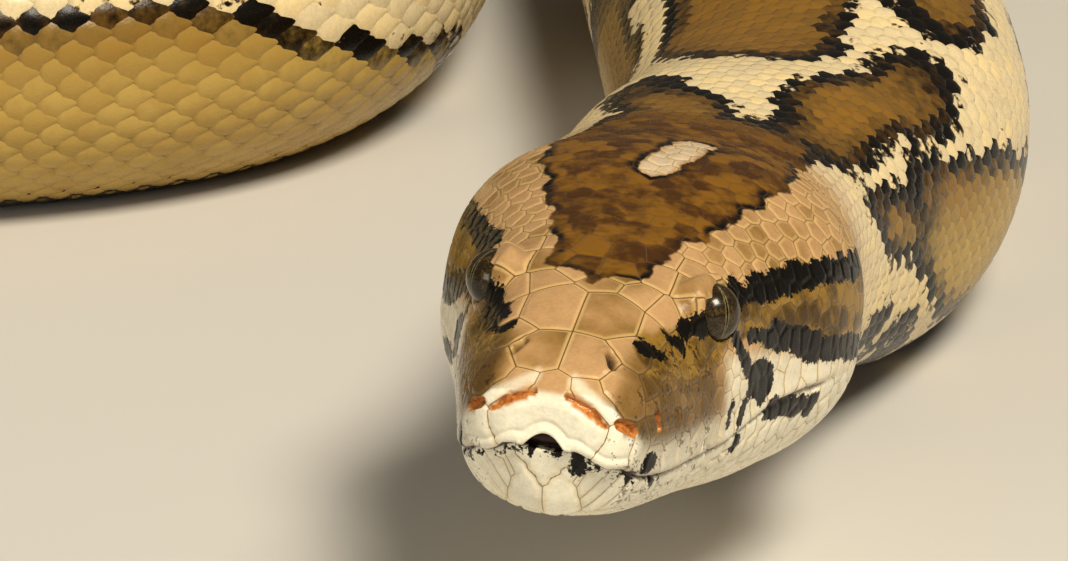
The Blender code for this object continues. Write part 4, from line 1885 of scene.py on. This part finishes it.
@dataclass(frozen=True)
class SkinFinish:
    """The skin's colours, read through the markings that every piece of skin carries."""

    name: str = "python_skin_finish"
    ground: Colour = (0.5, 0.295, 0.135)
    tan: Colour = (0.24, 0.132, 0.038)
    white: Colour = (0.84, 0.79, 0.63)
    cream: Colour = (0.8, 0.68, 0.42)
    yellow: Colour = (0.84, 0.6, 0.24)
    flank: Colour = (0.51, 0.345, 0.092)
    dark_brown: Colour = (0.06, 0.022, 0.003)
    golden: Colour = (0.3, 0.135, 0.01)
    black: Colour = (0.004, 0.003, 0.002)
    olive: Colour = (0.26, 0.145, 0.022)
    olive_dark: Colour = (0.06, 0.03, 0.005)
    orange: Colour = (0.56, 0.21, 0.045)
    orange_dark: Colour = (0.26, 0.06, 0.01)
    seam: Colour = (0.1, 0.052, 0.026)
    # painted shade: the colour of the mouth line, the notch, the nostrils, the scale roots and the skin
    # between the scales
    deep: Colour = (0.035, 0.018, 0.012)

    def build(self) -> Material:
        """Build the material, from the ground up to the painted shade that lies over everything."""
        r = SkinReading(Graph(self.name))
        g = r.graph
        olive = g.step(g.math("ADD", r.olive, g.both(r.jitter, 0.6)), -0.5, 0.5)
        on_face = g.both(olive, g.both(g.without(r.trunk), g.without(g.both(r.cream, 0.75))))
        colour = g.mix(on_face, self._pale(r), self._face_olive(r))
        freckle = g.total((r.fine, 0.6), (r.grain, 0.6), (r.speck, 0.1))
        colour = g.mix(g.both(g.both(g.step(freckle, 0.74, 0.8), r.speck), 0.85), colour, self.black)
        # painted highlight: yellow along the raised edges of the shields
        colour = self._edge_highlighted(r, colour, on_face)
        colour = self._blotched(r, colour)
        ink = g.total((r.ink, 1), (r.jitter, 0.7), (r.fine, 2), (1, -1))
        ink = g.step(ink, -0.15, 0.15)
        colour = g.mix(ink, colour, self.black)
        seam = g.both(g.without(g.step(r.nearest, 0.03, 0.15)), g.without(g.both(ink, 0.85)))
        colour = g.mix(g.both(seam, g.total((r.reach, 0.5), (1, 0.5))), colour, self.seam)
        lining = g.step(g.total((r.grain, 0.6), (r.fine, 0.5)), 0.48, 0.72)
        colour = g.mix(r.pit, colour, g.mix(lining, self.orange, self.orange_dark))
        # painted shade over everything, by the dark value
        colour = g.mix(r.dark, colour, self.deep)
        rough = g.total((r.grain, 0.16), (r.fine, 0.14), (r.pit, -0.1), (1, 0.13))
        relief = g.total((r.fine, 1), (r.grain, 0.6))
        return g.surface(colour, rough, g.bump(relief, 0.00012, 0.5), specular_ior_level=0.2)

    def _pale(self, r: SkinReading) -> Wire:
        """Return the pale ground: mottled tan on the head, darkened on the face's sides partly as painted
        shade, cream and yellow on the body.

        Args:
            r: the skin's noises and values.

        Returns:
            The colour.
        """
        g = r.graph
        mottle_and_face_shade = g.total((r.patch, 0.45), (g.noise(60, 4), 0.55), (r.tone, 0.3), (r.grain, 0.15),
                       (r.speck, 0.42))
        # partly real mottling, partly painted shade: tan and olive-dark patches, most on the face's sides
        # and in the loreal hollow, where speck is high
        ground = g.mix(g.step(mottle_and_face_shade, 0.62, 0.95), self.ground, self.tan)
        ground = g.mix(g.both(g.step(mottle_and_face_shade, 0.88, 1.14), 0.75), ground, self.olive_dark)
        pale = g.mix(r.cream, ground, g.mix(r.trunk, self.white, self.cream))
        yellow = g.both(g.step(g.total((r.tone, 0.6), (r.grain, 0.5)), 0.45, 0.8), r.trunk)
        pale = g.mix(g.both(yellow, 0.35), pale, self.yellow)
        shade = g.total((r.fine, 0.3), (r.grain, 0.35), (r.tone, 0.16), (1, 0.6))
        return g.mix(1, pale, g.grey(shade), "MULTIPLY")

    def _face_olive(self, r: SkinReading) -> Wire:
        """Return the mottled olive of the face and of the band behind the eye.

        Args:
            r: the skin's noises and values.

        Returns:
            The colour.
        """
        g = r.graph
        mottle = g.total((r.grain, 0.5), (r.patch, 0.6), (r.tone, 0.25))
        return g.mix(g.step(mottle, 0.52, 0.82), self.olive_dark, self.olive)

    def _edge_highlighted(self, r: SkinReading, colour: Wire, on_face: Wire) -> Wire:
        """Lay a painted highlight in yellow along both sides of the sutures, where the raised shield edges
        catch the light; fainter on the face's olive.

        Args:
            r: the skin's noises and values.
            colour: the colour so far.
            on_face: the olive's share.

        Returns:
            The new colour.
        """
        g = r.graph
        edge_highlight = g.both(g.step(r.nearest, 0.06, 0.2), g.without(g.step(r.nearest, 0.3, 0.8)))
        edge_highlight = g.both(edge_highlight, g.without(g.math("MAXIMUM", g.both(on_face, 0.85), r.speck)))
        return g.mix(g.both(edge_highlight, g.total((r.reach, 0.05), (r.patch, 0.55))), colour, self.yellow)

    def _blotched(self, r: SkinReading, colour: Wire) -> Wire:
        """Lay the brown blotches, golden or olive inside and rimmed with black.

        Args:
            r: the skin's noises and values.
            colour: the colour so far.

        Returns:
            The new colour.
        """
        g = r.graph
        inside = g.math("ADD", r.blotch, g.both(r.jitter, g.total((r.trunk, 0.7), (1, 0.55))))
        blotch = g.step(inside, -0.3, 0.3)
        mottle = g.step(g.total((r.patch, 0.6), (r.grain, 0.35), (r.tone, 0.22)), 0.46, 0.7)
        centre = g.both(r.trunk, g.step(inside, 2, 8))
        gold = g.math("MAXIMUM", g.both(mottle, g.total((r.trunk, -0.3), (1, 0.6))),
                      g.both(centre, g.total((mottle, 0.25), (1, 0.4))))
        brown = g.mix(gold, self.dark_brown, self.golden)
        flank = g.both(g.both(g.step(r.olive, -5, 4), r.trunk), g.step(inside, 1.6, 4.6))
        brown = g.mix(g.both(flank, g.total((mottle, -0.2), (1, 0.95))), brown, self.flank)
        colour = g.mix(blotch, colour, brown)
        rim_place = g.math("DIVIDE", inside, g.total((r.trunk, 2.8), (1, 1.6)))
        broken = g.step(g.total((r.patch, 1), (r.trunk, 0.2)), 0.32, 0.56)
        rim = g.both(g.without(g.step(rim_place, 0.4, 1.3)), broken)
        return g.mix(g.both(blotch, rim), colour, self.black)


@dataclass(frozen=True)
class EyeFinish:
    """The wet eye: a speckled olive-brown iris and a narrow upright pupil."""

    name: str = "python_eye_finish"
    iris: Colour = (0.018, 0.01, 0.004)
    flecks: Colour = (0.085, 0.058, 0.018)
    pupil: Colour = (0.003, 0.002, 0.002)
    edge: Colour = (0.3, 0.27, 0.12)
    lid: Colour = (0.02, 0.01, 0.006)

    def build(self) -> Material:
        """Build the material."""
        g = Graph(self.name)
        across, upward, front = g.value("across"), g.value("upward"), g.value("front")
        width = g.total((g.math("MULTIPLY", upward, upward), -0.016), (1, 0.16))
        inside = g.math("SUBTRACT", width, g.math("ABSOLUTE", across))
        grain, fine = g.noise(900, 4), g.noise(3200, 2)
        speck = g.step(g.total((grain, 0.6), (fine, 0.6)), 0.56, 0.76)
        colour = g.mix(g.both(speck, 0.75), self.iris, self.flecks)
        ring = g.both(g.step(inside, -0.26, -0.1), g.step(front, 1.9, 2.8))
        colour = g.mix(g.both(ring, g.total((speck, 0.5), (1, 0.3))), colour, self.edge)
        colour = g.mix(g.both(g.step(inside, -0.04, 0.04), g.step(front, 1.9, 2.6)), colour, self.pupil)
        colour = g.mix(g.without(g.step(front, -0.4, 0.9)), colour, self.lid)
        return g.surface(colour, g.total((fine, 0.05), (1, 0.17)), None, coat_weight=0.12,
                         coat_roughness=0.06, specular_ior_level=0.3)


@dataclass(frozen=True)
class FloorFinish:
    """A plain pale floor."""

    name: str = "floor_finish"
    colour: Colour = (0.62, 0.6, 0.57)

    def build(self) -> Material:
        """Build the material."""
        g = Graph(self.name)
        cloud = g.total((g.noise(3, 4), 0.06), (1, 0.96))
        return g.surface(g.mix(1, self.colour, g.grey(cloud), "MULTIPLY"), 0.8)


# --- eyes, floor, light and camera ---

@dataclass
class Eye:
    """One round glossy eye in its socket; side is 1 on the snake's left and -1 on its right."""

    form: SnakeForm
    name: str
    node: str
    side: float
    sizes: EyeSizes = field(default_factory=EyeSizes)

    def build(self, material: Material) -> Piece:
        """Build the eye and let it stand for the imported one.

        Args:
            material: its finish.

        Returns:
            The piece.
        """
        sizes = self.sizes
        axis = (Vector(sizes.gaze) * Vector((self.side, 1, 1))).normalized()
        upward = (Vector((0, 0, 1)) - axis * axis.z).normalized()
        across = upward.cross(axis)
        place = Vector(sizes.place) * Vector((self.side, 1, 1))
        turn = Matrix((across, upward, axis)).transposed().to_4x4()
        ball = bmesh.new()
        ball.loops.layers.uv.new(BAKE_MAP)
        bmesh.ops.create_uvsphere(ball, u_segments=sizes.segments, v_segments=sizes.rings,
                                  radius=sizes.radius, calc_uvs=True)
        mesh = bpy.data.meshes.new(self.name)
        ball.to_mesh(mesh)
        own = read_places(mesh) / MM
        ball.transform(Matrix(self.form.to_floor) @ Matrix.Translation(place) @ turn)
        ball.to_mesh(mesh)
        ball.free()
        write_values(mesh, {"across": own[:, 0], "upward": own[:, 1], "front": own[:, 2]})
        return add_piece(self.name, mesh, material, (self.node,))


@dataclass(frozen=True)
class Studio:
    """The floor, the lights and the camera."""

    floor_size: float = 14
    sky: Colour = (1, 0.94, 0.82)
    sky_strength: float = 0.13
    key_colour: Colour = (1, 0.91, 0.74)
    key_power: float = 92
    key_place: Place = (1.07, -1.49, 2.29)
    key_size: float = 0.88
    fill_power: float = 12
    fill_place: Place = (-1.17, -1.97, 0.85)
    fill_size: float = 0.8
    elevation: float = math.radians(20)
    distance: float = 0.9708
    focal_length: float = 223.19
    aim_above: float = 0.0231
    aim_aside: float = -0.00108
    aim_from: Place = (0, 0, 0.015)

    def build(self, form: SnakeForm) -> None:
        """Build the floor, lights and camera.

        Args:
            form: the snake, whose head the camera faces.
        """
        bpy.context.scene.view_settings.view_transform = "Standard"
        self._floor()
        self._world()
        head = form.to_floor @ np.array((0, 0.05, 0.02, 1))
        self._light("key_light", self.key_power, self.key_size, self.key_place, self.key_colour, head[:3])
        self._light("fill_light", self.fill_power, self.fill_size, self.fill_place, self.sky, head[:3])
        self._camera(form)

    def _floor(self) -> None:
        """Lay the floor."""
        plane = bmesh.new()
        bmesh.ops.create_grid(plane, x_segments=1, y_segments=1, size=self.floor_size / 2)
        mesh = bpy.data.meshes.new("studio_floor")
        plane.to_mesh(mesh)
        plane.free()
        mesh.materials.append(FloorFinish().build())
        floor = bpy.data.objects.new("studio_floor", mesh)
        bpy.context.scene.collection.objects.link(floor)

    def _world(self) -> None:
        """Light everything softly from all round."""
        world = bpy.data.worlds.new("studio")
        world.use_nodes = True
        back = world.node_tree.nodes["Background"]
        back.inputs["Color"].default_value = (*self.sky, 1)
        back.inputs["Strength"].default_value = self.sky_strength
        bpy.context.scene.world = world

    def _light(self, name: str, power: float, size: float, place: Place, colour: Colour,
               aim: Sequence[float]) -> None:
        """Hang a square light that faces a point.

        Args:
            name: its name.
            power: its power in watts.
            size: its side.
            place: where it hangs.
            colour: its colour.
            aim: the point that it faces.
        """
        lamp = bpy.data.lights.new(name, "AREA")
        lamp.energy, lamp.size, lamp.color = power, size, colour
        light = bpy.data.objects.new(name, lamp)
        light.location = place
        light.rotation_euler = (Vector(place) - Vector(aim)).to_track_quat("Z", "Y").to_euler()
        bpy.context.scene.collection.objects.link(light)

    def _camera(self, form: SnakeForm) -> None:
        """Set the camera up in front of the head.

        Args:
            form: the snake, whose head it faces.
        """
        view = Vector((0, math.cos(self.elevation), -math.sin(self.elevation)))
        up = Vector((0, math.sin(self.elevation), math.cos(self.elevation)))
        start = Vector((form.to_floor @ np.array((*self.aim_from, 1)))[:3])
        aim = start + Vector((1, 0, 0)) * self.aim_aside + up * self.aim_above
        lens = bpy.data.cameras.new("camera")
        lens.sensor_width, lens.lens = 36, self.focal_length
        lens.clip_start, lens.clip_end = 0.05, 60
        camera = bpy.data.objects.new("camera", lens)
        camera.location = aim - view * self.distance
        camera.rotation_euler = (math.pi / 2 - self.elevation, 0, 0)
        bpy.context.scene.collection.objects.link(camera)
        bpy.context.scene.camera = camera


def main() -> None:
    """Build the snake, the floor, the lights and the camera."""
    logging.basicConfig(level=logging.INFO, format="%(name)s: %(message)s")
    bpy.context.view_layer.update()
    snake = Snake()
    finish, eye_finish = SkinFinish().build(), EyeFinish().build()
    Skin(snake).build(finish, [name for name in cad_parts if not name.startswith("eye")])
    ShieldSheet(snake, "head_front", snake.form.snout_end, SHEETS_MEET, 220).build(finish)
    ShieldSheet(snake, "head_rear", SHEETS_MEET, SHEETS_END, 230).build(finish)
    ScaleCoat(snake).build(finish)
    BellyScutes(snake).build(finish)
    Eye(snake.form, "eyeball_left", "eye_left", 1).build(eye_finish)
    Eye(snake.form, "eyeball_right", "eye_right", -1).build(eye_finish)
    Studio().build(snake.form)


if __name__ == "__main__":
    main()
